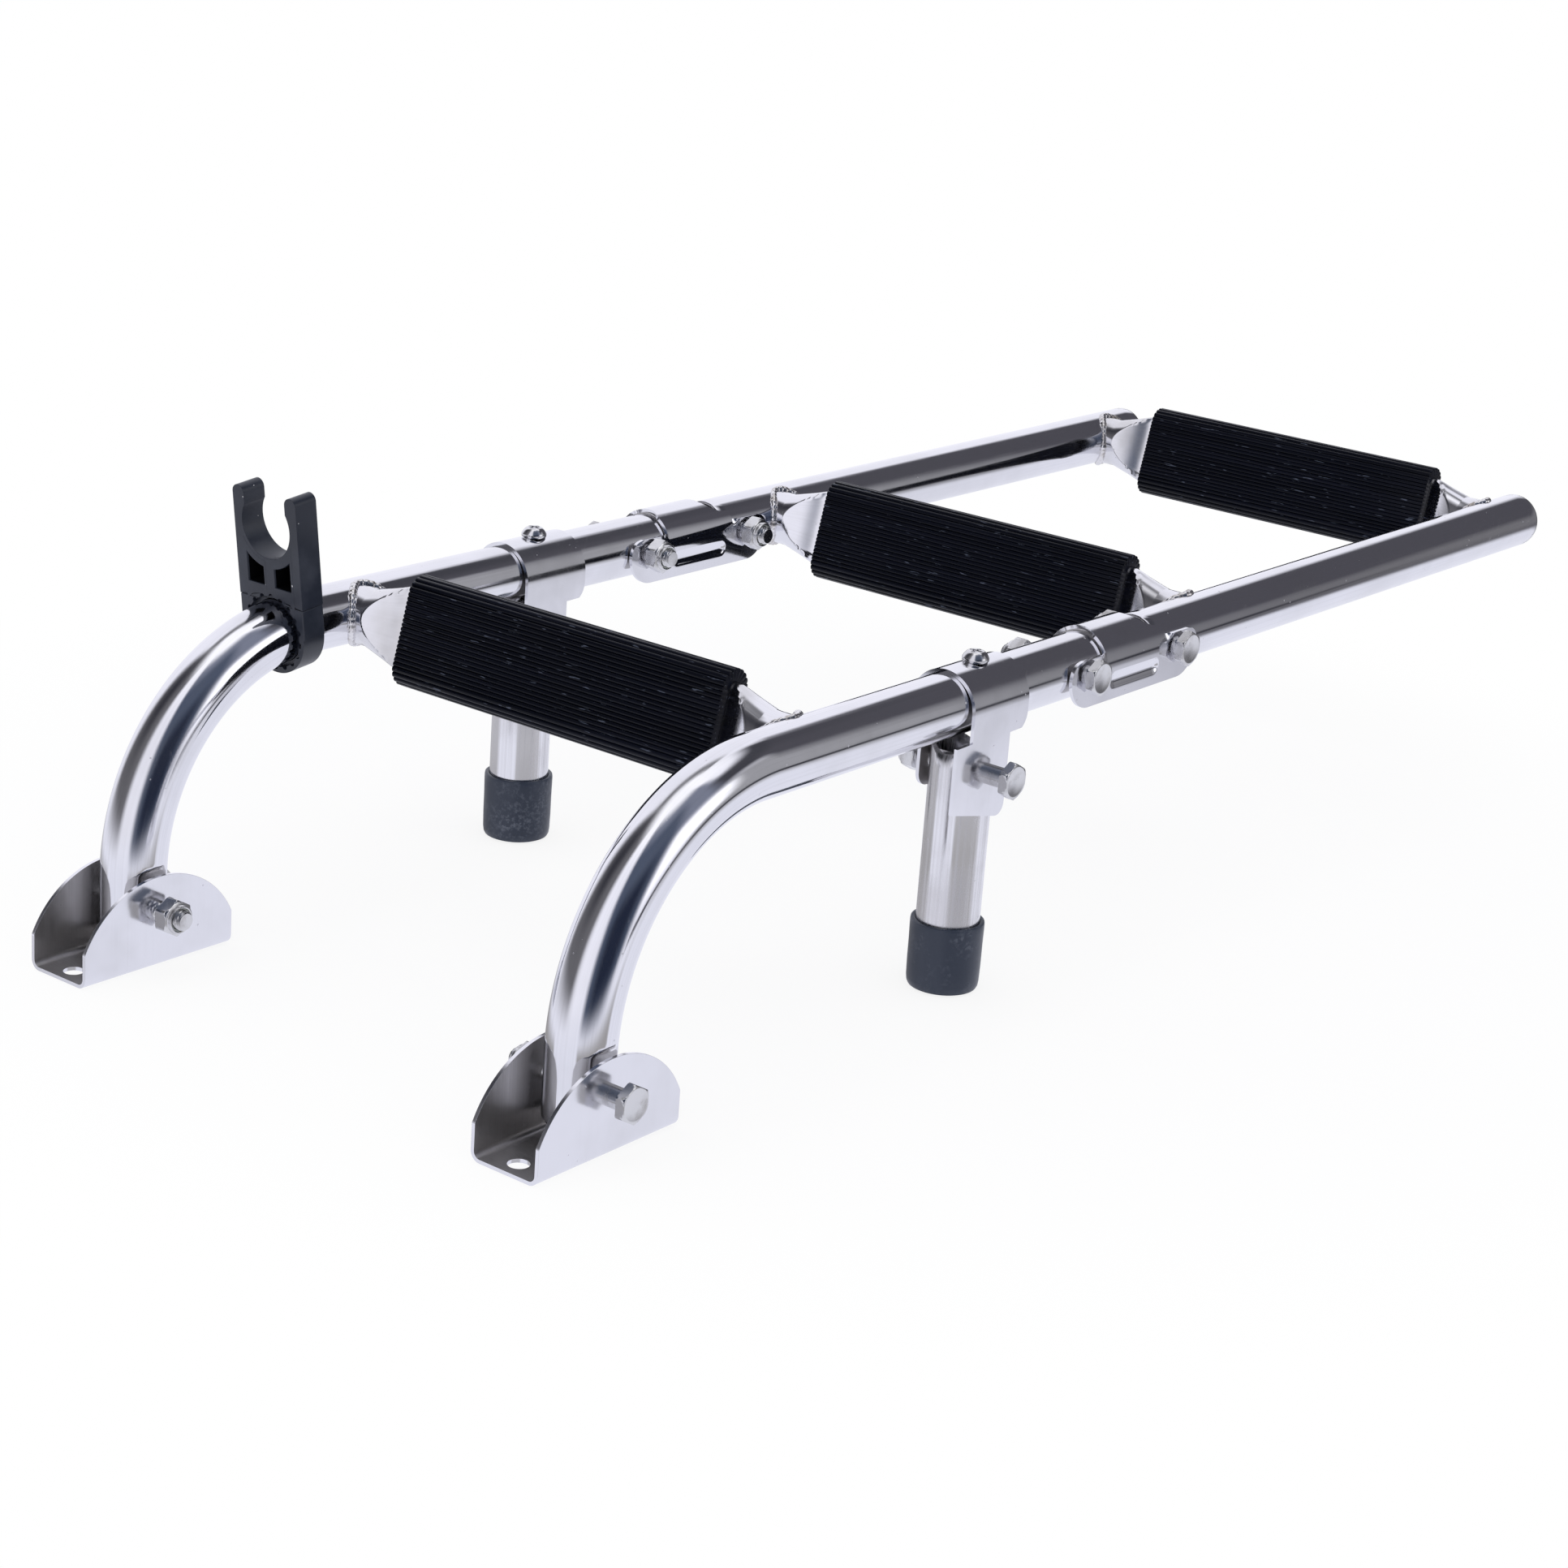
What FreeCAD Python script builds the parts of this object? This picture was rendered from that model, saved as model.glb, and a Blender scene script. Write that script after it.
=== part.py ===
import FreeCAD, Part
import math
import os

# Folding boat ladder with three steps, lying on its two pivot brackets and its
# two rubber tipped standoff legs. The origin is the middle of the right
# bracket's base face, x runs along the rails to the lower step, z away from
# the mounting surface. Every size is millimetres.

doc = FreeCAD.newDocument("ladder")
sheet = doc.addObject("Spreadsheet::Sheet", "size")

SIZES = [
    ("tube_r", 12.7, "one inch stainless tube"),
    ("tube_wall", 1.2, "tube wall"),
    ("rail_spacing", 230, "rail centre to rail centre"),
    ("rail_height", 119, "rail axis above the mounting surface"),
    ("bend_radius", 86, "bend of the upper rails on the centre line"),
    ("sheet_wall", 1.5, "folded sheet of brackets and fittings"),
    ("side_gap", 0.5, "room between a tube and a folded cheek"),
    ("bracket_gap", 1.2, "room between a rail and the bracket cheeks"),
    ("bracket_length", 73, "deck bracket along the rails"),
    ("bracket_height", 37, "top of the rounded cheeks"),
    ("bracket_shoulder", 14, "straight end edges of the cheeks"),
    ("bracket_corner", 4, "outer radius of the base bends"),
    ("bracket_hole_r", 4, "screw holes in the base"),
    ("hole_end", 7.5, "screw holes from the bracket's ends"),
    ("pivot_height", 22.8, "pivot bolt above the mounting surface"),
    ("foot_end", 10.5, "lower end of the upper rails"),
    ("press_depth", 2, "how far the tube sides are pressed flat at the pivot"),
    ("press_width", 17, "width of the pressed patch"),
    ("press_past", 7, "pressed patch past the start of the bend"),
    ("foot_plug", 2.4, "plastic plug showing under the rail end"),
    ("bolt_r", 4, "shank of the eight millimetre bolts"),
    ("bolt_room", 0.25, "hole room where a tube turns on a bolt"),
    ("head_flats", 13, "across the flats of heads and nuts"),
    ("head_thick", 4.2, "bolt head"),
    ("nut_thick", 6.4, "lock nut without its collar"),
    ("collar_r", 5.6, "nylon collar of the lock nut"),
    ("collar_thick", 1.8, "nylon collar of the lock nut"),
    ("bolt_past", 2.5, "shank past the nylon collar"),
    ("pivot_off", 10.6, "pivot bolt head off the cheek"),
    ("pivot_nut_off", 2.5, "pivot nut off the cheek"),
    ("step_one", 112, "first step from the pivot"),
    ("step_two", 100, "second step past the first hinge bolt"),
    ("step_three", 377, "third step past the first hinge bolt"),
    ("bar_r", 12, "step bar where it is still round"),
    ("bar_wall", 1.2, "wall of the step bar"),
    ("flat_width", 35, "step bar crushed flat, width"),
    ("flat_thick", 6, "step bar crushed flat, thickness"),
    ("round_end", 20, "rail axis to where the crush starts"),
    ("flat_start", 34, "rail axis to where the bar is flat"),
    ("tread_half", 80, "half the length of the tread"),
    ("tread_width", 45, "tread over its rounded edges"),
    ("tread_thick", 15, "tread over its ribs"),
    ("tread_room", 0.1, "room between the tread and the crushed bar"),
    ("tread_tilt", 15, "tread turned from square to the rails"),
    ("rib_depth", 0.75, "depth of the fine ribs"),
    ("rib_pitch", 1.75, "pitch of the fine ribs"),
    ("edge_rib_depth", 0.9, "depth of the larger edge ribs"),
    ("tee_middle", 216.5, "leg and tee fitting from the pivot"),
    ("tee_gap", 1, "room between the rail and its loose tee sleeve"),
    ("tee_back", 16.5, "tee sleeve toward the brackets"),
    ("tee_front", 19.5, "tee sleeve toward the hinge"),
    ("tee_skirt", 5.5, "straight end edge of the sleeve sides, below the rail axis"),
    ("skirt_corner", 8, "rounded corner of the sleeve sides toward the hinge"),
    ("cheek_back", 26.5, "wide right cheek of each tee toward the brackets"),
    ("cheek_front", 8.5, "tee cheeks toward the hinge"),
    ("cheek_top", 12, "upper edge of the tee cheeks, below the rail axis"),
    ("tee_bottom", 10.5, "tongue and the wide cheek's heel below the leg bolt"),
    ("tee_low", 17, "wide cheek's slanting lower edge below the leg bolt"),
    ("tee_slant", 12.6, "slant of that edge"),
    ("tee_corner", 6, "rounded lower corners of the tee cheeks"),
    ("tongue_back", 9, "narrow left cheek of each tee toward the brackets"),
    ("tee_screw_shift", 2.5, "pan head from the leg's middle toward the hinge"),
    ("tee_screw_r", 5.2, "pan head on the tee"),
    ("tee_screw_side", 1.6, "straight side of the pan head"),
    ("tee_screw_dome", 2.4, "domed part of the pan head"),
    ("tee_screw_top", 3, "radius of the pan head's flat top"),
    ("tee_screw_shank", 2, "screw shank"),
    ("leg_drop", 28, "leg bolt below the rail axis"),
    ("leg_over", 13.6, "rounded upper end of the leg about its bolt"),
    ("leg_foot", 3.5, "leg tube above the mounting surface"),
    ("tip_r", 14.7, "rubber tip"),
    ("tip_height", 28, "rubber tip"),
    ("leg_bolt_off", 8.1, "leg bolt head off the cheek"),
    ("leg_nut_off", 3.5, "leg nut off the cheek"),
    ("hinge_one", 280, "first hinge bolt from the pivot"),
    ("hinge_pitch", 66.5, "between the hinge bolts"),
    ("hinge_stub", 14, "tube past its hinge bolt inside the channel"),
    ("hinge_ear", 13.2, "radius of the ears below the bolts"),
    ("ear_rise", 6.8, "top edge of the ears above the axis"),
    ("ear_flat", 6.5, "flat ears past the bolts, where they start to curve in"),
    ("roof_start", 12, "closed roof from the first bolt at its sides"),
    ("roof_bay", 14, "radius of the bay in the roof at the first bolt"),
    ("roof_end", 10, "closed roof short of the second bolt at its sides"),
    ("end_bay", 10.5, "radius of the bay in the roof at the second bolt"),
    ("end_bay_back", 23, "deepest point of that bay from the second bolt"),
    ("hinge_bolt_off", 1.6, "hinge bolt heads off the cheek"),
    ("hinge_nut_off", 1.4, "hinge nuts off the cheek"),
    ("bead_depth", 0.9, "groove pressed into the hinge cheeks"),
    ("bead_r", 3.1, "pressed groove, half height"),
    ("bead_drop", 5.5, "pressed groove below the rail axis"),
    ("bead_back", 15.5, "middle of the groove's ends from the bolts"),
    ("rail_end", 402, "lower rails' cut end past the first hinge bolt"),
    ("end_plug", 1.6, "plastic plug flange on the lower ends"),
    ("clip_angle", 7, "clip round the bend from its upper end"),
    ("clip_thick", 11, "clip along the rail"),
    ("clip_width", 35, "clip across the rail"),
    ("clip_rise", 43.5, "rail axis to the middle of the hook"),
    ("clip_bore", 13.2, "hook bore radius"),
    ("clip_mouth", 11.3, "half the mouth between the tips"),
    ("clip_tip", 3.1, "radius of the rounded tips"),
    ("clip_tip_rise", 11, "tips above the middle of the hook"),
    ("clip_split", 12.5, "joint between the clip and its lower saddle"),
    ("clip_round", 17, "outside of the saddle"),
    ("clip_seat", 0.25, "room between the rail and the clip's bore"),
    ("clip_recess", 2.5, "depth of the toothed recess round the rail"),
    ("recess_room", 1.8, "recess radius over the rail"),
    ("tooth_r", 1.2, "scallops round the recess"),
    ("pocket_depth", 9, "moulded pockets"),
    ("pocket_inner", 2.5, "pockets from the middle web"),
    ("pocket_outer", 12.6, "pockets' outer side from the middle"),
    ("pocket_rim", 2.2, "wall left round bore and recess"),
]
for row, (word, amount, note) in enumerate(SIZES, 1):
    sheet.set("A%d" % row, note)
    sheet.set("B%d" % row, str(amount))
    sheet.setAlias("B%d" % row, word)
doc.recompute()


def size(word):
    return float(sheet.get(word))


def cells(text):
    # a formula in plain words becomes one that points at the sheet
    known = sorted([word for word, amount, note in SIZES], key=len, reverse=True)
    out = ""
    token = ""
    for letter in text + " ":
        if letter.isalnum() or letter == "_":
            token += letter
        else:
            out += "size." + token if token in known else token
            out += letter
            token = ""
    return out.strip()


UP = FreeCAD.Rotation(0, 0, 0, 1)
TURNS = {
    "z": UP,
    "y": FreeCAD.Rotation(FreeCAD.Vector(1, 0, 0), -90),
    "x": FreeCAD.Rotation(FreeCAD.Vector(0, 1, 0), 90),
}


def place(thing, at, turn=UP):
    thing.Placement = FreeCAD.Placement(FreeCAD.Vector(0, 0, 0), turn)
    for axis, formula in zip("xyz", at):
        thing.setExpression("Placement.Base." + axis, cells(formula))
    return thing


def block(at, sides):
    thing = doc.addObject("Part::Box", "block")
    for name, formula in zip(("Length", "Width", "Height"), sides):
        thing.setExpression(name, cells(formula))
    return place(thing, at)


def rod(axis, at, radius, length):
    thing = doc.addObject("Part::Cylinder", "rod")
    thing.setExpression("Radius", cells(radius))
    thing.setExpression("Height", cells(length))
    return place(thing, at, TURNS[axis])


def hexagon(axis, at, flats, height):
    thing = doc.addObject("Part::Prism", "hexagon")
    thing.Polygon = 6
    thing.setExpression("Circumradius", cells("(" + flats + ") / sqrt(3)"))
    thing.setExpression("Height", cells(height))
    return place(thing, at, TURNS[axis])


def join(things, name="join"):
    thing = doc.addObject("Part::MultiFuse", name)
    thing.Shapes = things
    thing.Refine = True
    return thing


def overlap(things, name="overlap"):
    thing = doc.addObject("Part::MultiCommon", name)
    thing.Shapes = things
    return thing


def remove(base, tools, name="remove"):
    thing = doc.addObject("Part::Cut", name)
    thing.Base = base
    thing.Tool = tools[0] if len(tools) == 1 else join(tools)
    return thing


pieces = []


def piece(name, thing):
    thing.Label = name
    pieces.append(thing)
    return thing


SIDES = [("right", "0", -1), ("left", "rail_spacing", 1)]


BEND_TURN = FreeCAD.Rotation(FreeCAD.Vector(1, 0, 0), 90)
BEND_TURN = BEND_TURN * FreeCAD.Rotation(FreeCAD.Vector(0, 0, 1), 90)


def crossbolt(x, z, y, sign, off, nut_off, gap):
    # hexagon head outside, shank through both cheeks, lock nut inside
    cheek = "tube_r + %s + sheet_wall" % gap
    inner = "(nut_thick + collar_thick + bolt_past)"
    if sign < 0:
        head_at = "%s - (%s) - %s - head_thick" % (y, cheek, off)
        shank_at = "%s - (%s) - %s - 0.1" % (y, cheek, off)
        nut_at = "%s + (%s) + %s" % (y, cheek, nut_off)
        collar_at = "%s + (%s) + %s + nut_thick - 0.1" % (y, cheek, nut_off)
    else:
        head_at = "%s + (%s) + %s" % (y, cheek, off)
        shank_at = "%s - (%s) - %s - %s" % (y, cheek, nut_off, inner)
        nut_at = "%s - (%s) - %s - nut_thick" % (y, cheek, nut_off)
        collar_at = "%s - (%s) - %s - nut_thick - collar_thick" % (y, cheek, nut_off)
    span = "2 * (%s) + %s + %s + %s + 0.1" % (cheek, off, nut_off, inner)
    head = overlap([
        hexagon("y", (x, head_at, z), "head_flats", "head_thick"),
        rod("y", (x, head_at, z), "head_flats / 2 + 0.7", "head_thick"),
    ])
    bolt = join([head, rod("y", (x, shank_at, z), "bolt_r", span)])
    nut = overlap([
        hexagon("y", (x, nut_at, z), "head_flats", "nut_thick"),
        rod("y", (x, nut_at, z), "head_flats / 2 + 0.7", "nut_thick"),
    ])
    nut = join([nut, rod("y", (x, collar_at, z), "collar_r", "collar_thick + 0.1")])
    nut = remove(nut, [rod("y", (x, nut_at + " - 9", z), "bolt_r + 0.01", "30")])
    return bolt, nut


# Deck brackets: sheet folded to a channel with half round cheeks, two screw
# holes in the base and the pivot bolt across the cheeks.
for side, y, sign in SIDES:
    half = "(tube_r + bracket_gap + sheet_wall)"
    inner = "(tube_r + bracket_gap)"
    start = "-bracket_length / 2"
    corner_in = "(bracket_corner - sheet_wall)"
    outer_bar = join([
        block((start, y + " - " + half, "bracket_corner"),
              ("bracket_length", "2 * " + half, "bracket_height - bracket_corner")),
        block((start, y + " - " + half + " + bracket_corner", "0"),
              ("bracket_length", "2 * (%s - bracket_corner)" % half, "bracket_corner + 1")),
        rod("x", (start, y + " - " + half + " + bracket_corner", "bracket_corner"),
            "bracket_corner", "bracket_length"),
        rod("x", (start, y + " + " + half + " - bracket_corner", "bracket_corner"),
            "bracket_corner", "bracket_length"),
    ])
    inner_bar = join([
        block((start + " - 1", y + " - " + inner, "bracket_corner"),
              ("bracket_length + 2", "2 * " + inner, "bracket_height")),
        block((start + " - 1", y + " - " + inner + " + " + corner_in, "sheet_wall"),
              ("bracket_length + 2", "2 * (%s - %s)" % (inner, corner_in), "bracket_corner")),
        rod("x", (start + " - 1", y + " - " + inner + " + " + corner_in, "bracket_corner"),
            corner_in, "bracket_length + 2"),
        rod("x", (start + " - 1", y + " + " + inner + " - " + corner_in, "bracket_corner"),
            corner_in, "bracket_length + 2"),
    ])
    rise = "(bracket_height - bracket_shoulder)"
    crown = "((bracket_length * bracket_length / 4 + %s * %s) / (2 * %s))" % (rise, rise, rise)
    crown_rod = rod("y", ("0", y + " - " + half + " - 1", "bracket_height - " + crown),
                    crown, "2 * %s + 2" % half)
    rounded = overlap([outer_bar, crown_rod])
    holes = [
        rod("z", ("bracket_length / 2 - hole_end", y, "-1"), "bracket_hole_r",
            "bracket_corner + 2"),
        rod("z", ("hole_end - bracket_length / 2", y, "-1"), "bracket_hole_r",
            "bracket_corner + 2"),
        rod("y", ("0", y + " - " + half + " - 1", "pivot_height"), "bolt_r",
            "2 * %s + 2" % half),
    ]
    piece(side + "_bracket", remove(rounded, [inner_bar] + holes))
    bolt, nut = crossbolt("0", "pivot_height", y, sign, "pivot_off", "pivot_nut_off",
                          "bracket_gap")
    piece(side + "_pivot_bolt", bolt)
    piece(side + "_pivot_nut", nut)

# Upper rails: one inch tube bent through a quarter turn above each bracket,
# pressed flat on both sides at the pivot bolt, cut off inside the hinge.
for side, y, sign in SIDES:
    layers = []
    press_top = "(rail_height - bend_radius + press_past)"
    for inset in ("0", "tube_wall"):
        radius = "tube_r - " + inset
        over = "0" if inset == "0" else "1"
        upright = rod("z", ("0", y, "foot_end - " + over), radius,
                      "rail_height - bend_radius - foot_end + " + over)
        press = "press_depth" if inset == "0" else "press_depth + tube_wall"
        slot = "(press_width / 2 - %s)" % ("0" if inset == "0" else "tube_wall")
        patches = []
        for way in (-1, 1):
            face = y + (" - 40 - (tube_r - %s)" % press if way < 0
                        else " + (tube_r - %s)" % press)
            patches.append(block(("-" + slot, face, "0"),
                                 ("2 * " + slot, "40", press_top + " - " + slot)))
            patches.append(rod("y", ("0", face, press_top + " - " + slot), slot, "40"))
        ring = doc.addObject("Part::Torus", "bend")
        ring.setExpression("Radius1", cells("bend_radius"))
        ring.setExpression("Radius2", cells(radius))
        ring.Angle3 = 90
        place(ring, ("bend_radius", y, "rail_height - bend_radius"), BEND_TURN)
        level = rod("x", ("bend_radius", y, "rail_height"), radius,
                    "hinge_one + hinge_stub - bend_radius + " + over)
        layers.append(remove(join([upright, ring, level]), patches))
    bolts = [
        rod("y", ("0", y + " - 30", "pivot_height"), "bolt_r + bolt_room", "60"),
        rod("y", ("hinge_one", y + " - 30", "rail_height"), "bolt_r + bolt_room", "60"),
        rod("z", ("tee_middle + tee_screw_shift", y, "rail_height"), "tee_screw_shank", "30"),
    ]
    piece(side + "_upper_rail", remove(layers[0], [layers[1]] + bolts))
    flange = rod("z", ("0", y, "foot_end - foot_plug"), "tube_r - 1.3", "foot_plug")
    stem = rod("z", ("0", y, "foot_end - foot_plug"), "4.5", "foot_plug + 3")
    piece(side + "_rail_foot_plug", join([flange, stem]))

# Lower rails: straight tube from the hinge to the plugged lower ends.
for side, y, sign in SIDES:
    start = "hinge_one + hinge_pitch - hinge_stub"
    length = "rail_end - hinge_pitch + hinge_stub"
    tube = rod("x", (start, y, "rail_height"), "tube_r", length)
    bore = rod("x", (start + " - 1", y, "rail_height"), "tube_r - tube_wall", length + " + 2")
    hole = rod("y", ("hinge_one + hinge_pitch", y + " - 30", "rail_height"),
               "bolt_r + bolt_room", "60")
    piece(side + "_lower_rail", remove(tube, [bore, hole]))
    flange = rod("x", ("hinge_one + rail_end", y, "rail_height"), "tube_r - 0.1", "end_plug")
    stem = rod("x", ("hinge_one + rail_end - 8", y, "rail_height"), "tube_r - tube_wall",
               "8.1")
    piece(side + "_end_plug", join([flange, stem]))


def crushed(distance, inset):
    # width and thickness of the step bar at a distance from its nearer rail
    near = size("round_end")
    far = size("flat_start")
    share = min(max((distance - near) / (far - near), 0), 1)
    round_d = 2 * size("bar_r")
    width = round_d + (size("flat_width") - round_d) * share - 2 * inset
    thick = round_d + (size("flat_thick") - round_d) * share - 2 * inset
    return width, thick


def flattened(width, thick, y, steps=9):
    # two straight sides joined by half circles in short chords, in the plane
    # at y, with the same corners whatever the proportions
    straight = max((width - thick) / 2, 0.05)
    corners = []
    for way in (1, -1):
        for k in range(steps + 1):
            turn = math.pi * k / steps
            corners.append(FreeCAD.Vector(way * thick / 2 * math.cos(turn), y,
                                          way * (straight + thick / 2 * math.sin(turn))))
    return Part.makePolygon(corners + corners[:1])


# Step bars: round tube welded between the rails and crushed to a flat oval
# between them. The two transitions are lofts, which no primitive gives.
def bar_solid(inset):
    spacing = size("rail_spacing")
    near = size("round_end")
    far = size("flat_start")
    stops = [0, near, far, spacing - far, spacing - near, spacing]
    out = None
    for first, last in zip(stops, stops[1:]):
        wires = []
        for y in (first, last):
            width, thick = crushed(min(y, spacing - y), inset)
            wires.append(flattened(width, thick, y))
        part = Part.makeLoft(wires, True, True)
        out = part if out is None else out.fuse(part)
    return out


bar_shape = bar_solid(0).cut(bar_solid(size("bar_wall")))
tilt = FreeCAD.Rotation(FreeCAD.Vector(0, 1, 0), size("tread_tilt"))


def tread_outline():
    # fine ribs on both broad faces, larger ones round the two edges
    width = size("tread_width")
    thick = size("tread_thick")
    depth = size("rib_depth")
    radius = thick / 2
    flat = width - thick
    count = int(flat / size("rib_pitch"))
    pitch = flat / count
    points = []
    for way in (1, -1):
        for k in range(count):
            low = -flat / 2 + k * pitch
            for share, drop in ((0.0, 1), (0.2, 0.25), (0.5, 0), (0.8, 0.25)):
                points.append((way * (radius - drop * depth), way * (low + share * pitch)))
        steps = 9
        for k in range(steps):
            for share, drop in ((0.0, 1), (0.25, 0.2), (0.75, 0.2)):
                turn = math.pi * (k + share) / steps
                reach = radius - drop * size("edge_rib_depth")
                points.append((way * reach * math.cos(turn),
                               way * (flat / 2 + reach * math.sin(turn))))
    return points


outline = [FreeCAD.Vector(a, 0, b) for a, b in tread_outline()]
sleeve_face = Part.Face(Part.makePolygon(outline + outline[:1]))
STEPS = [("1", "step_one"), ("2", "hinge_one + step_two"), ("3", "hinge_one + step_three")]
for number, word in STEPS:
    bar = doc.addObject("Part::Feature", "bar_" + number)
    bar.Shape = bar_shape
    place(bar, (word, "0", "rail_height"), tilt)
    rails = [rod("x", (word + " - 40", y, "rail_height"), "tube_r", "80")
             for side, y, sign in SIDES]
    piece("step_%s_bar" % number, remove(bar, rails))
    face = doc.addObject("Part::Feature", "ribbed_" + number)
    face.Shape = sleeve_face
    sleeve = doc.addObject("Part::Extrusion", "sleeve_" + number)
    sleeve.Base = face
    sleeve.Dir = FreeCAD.Vector(0, 1, 0)
    sleeve.DirMode = "Custom"
    sleeve.Solid = True
    sleeve.setExpression("LengthFwd", cells("2 * tread_half"))
    place(sleeve, (word, "rail_spacing / 2 - tread_half", "rail_height"), tilt)
    hollow = doc.addObject("Part::Box", "hollow")
    bores = [hollow]
    room = "(flat_width - flat_thick) / 2"
    hollow.setExpression("Length", cells("flat_thick + 2 * tread_room"))
    hollow.setExpression("Width", cells("2 * tread_half + 2"))
    hollow.setExpression("Height", cells("flat_width - flat_thick"))
    angle = "tread_tilt * 1 deg"
    away = "(flat_thick / 2 + tread_room)"
    place(hollow, (word + " - %s * cos(%s) - %s * sin(%s)" % (away, angle, room, angle),
                   "rail_spacing / 2 - tread_half - 1",
                   "rail_height + %s * sin(%s) - %s * cos(%s)" % (away, angle, room, angle)),
          tilt)
    for way in ("-", "+"):
        bores.append(rod("y", (word + " %s %s * sin(%s)" % (way, room, angle),
                               "rail_spacing / 2 - tread_half - 1",
                               "rail_height %s %s * cos(%s)" % (way, room, angle)),
                         away, "2 * tread_half + 2"))
    piece("step_%s_tread" % number, remove(sleeve, bores))

leg_bolt = "(rail_height - leg_drop)"

# Tee fittings: sheet wrapped loosely over each rail and resting on its crown,
# held by a pan head screw. The sides end in a rounded skirt toward the hinge and
# in cheeks that hang down to the leg bolt.
for side, y, sign in SIDES:
    outer = "(tube_r + tee_gap + sheet_wall)"
    inner = "(tube_r + tee_gap)"
    axis = "(rail_height - tee_gap)"
    skirt = "(rail_height - tee_skirt)"
    low = "(%s - tee_low)" % leg_bolt
    bottom = "(%s - tee_bottom)" % leg_bolt
    edge = y + " - " + outer
    across = "2 * " + outer
    start = "tee_middle - tee_back"
    heel = "tee_middle - cheek_back"
    wrap = rod("x", (start, y, axis), outer, "tee_back + tee_front")
    sides = [
        block((start, edge, skirt),
              ("tee_back + tee_front", across, axis + " - " + skirt)),
        block((start, edge, skirt + " - skirt_corner"),
              ("tee_back + tee_front - skirt_corner", across, "skirt_corner + 1")),
        rod("y", ("tee_middle + tee_front - skirt_corner", edge, skirt),
            "skirt_corner", across),
    ]
    toe = "tee_middle + cheek_front - tee_corner"
    drop = "rail_height - cheek_top - %s - tee_corner" % low
    cheek = join([
        block((heel, edge, low + " + tee_corner"),
              ("cheek_back + cheek_front", outer, drop)),
        block((heel, edge, low),
              ("cheek_back + cheek_front - tee_corner", outer, "tee_corner + 1")),
        rod("y", (toe, edge, low + " + tee_corner"), "tee_corner", outer),
    ])
    under = block(("0", "0", "0"), ("60", outer, "20"))
    slant = "tee_slant * 1 deg"
    place(under, (heel + " - 20 * sin(%s) - 5 * cos(%s)" % (slant, slant), edge,
                  bottom + " - 20 * cos(%s) + 5 * sin(%s)" % (slant, slant)),
          FreeCAD.Rotation(FreeCAD.Vector(0, 1, 0), size("tee_slant")))
    cheek = [remove(cheek, [under])]
    drop = "rail_height - cheek_top - %s - tee_corner" % bottom
    tongue = [
        block(("tee_middle - tongue_back", y, bottom + " + tee_corner"),
              ("tongue_back + cheek_front", outer, drop)),
        rod("y", (toe, y, bottom + " + tee_corner"), "tee_corner", outer),
        rod("y", ("tee_middle - tongue_back + tee_corner", y, bottom + " + tee_corner"),
            "tee_corner", outer),
    ]
    room = [
        block((heel + " - 1", y + " - " + inner, low + " - 1"),
              ("cheek_back + tee_front + 2", "2 * " + inner, axis + " - " + low + " + 1")),
        rod("x", (start + " - 1", y, axis), inner, "tee_back + tee_front + 2"),
    ]
    screw = "tee_middle + tee_screw_shift"
    holes = [
        rod("y", ("tee_middle", y + " - 30", leg_bolt), "bolt_r", "60"),
        rod("z", (screw, y, "rail_height"), "tee_screw_shank", "30"),
    ]
    piece(side + "_tee", remove(join([wrap] + sides + cheek + tongue), room + holes))
    crown = "rail_height + tube_r + sheet_wall"
    rim = rod("z", (screw, y, crown), "tee_screw_r", "tee_screw_side")
    dome = doc.addObject("Part::Cone", "dome")
    dome.setExpression("Radius1", cells("tee_screw_r"))
    dome.setExpression("Radius2", cells("tee_screw_top"))
    dome.setExpression("Height", cells("tee_screw_dome"))
    place(dome, (screw, y, crown + " + tee_screw_side"))
    stem = rod("z", (screw, y, crown + " - 5"), "tee_screw_shank", "5.5")
    cross = [
        block((screw + " - 2.4", y + " - 0.5", crown + " + tee_screw_side"), ("4.8", "1", "5")),
        block((screw + " - 0.5", y + " - 2.4", crown + " + tee_screw_side"), ("1", "4.8", "5")),
    ]
    piece(side + "_tee_screw", remove(join([rim, dome, stem]), cross))
    bolt, nut = crossbolt("tee_middle", leg_bolt, y, sign, "leg_bolt_off",
                          "leg_nut_off", "tee_gap")
    piece(side + "_leg_bolt", bolt)
    piece(side + "_leg_nut", nut)

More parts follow.
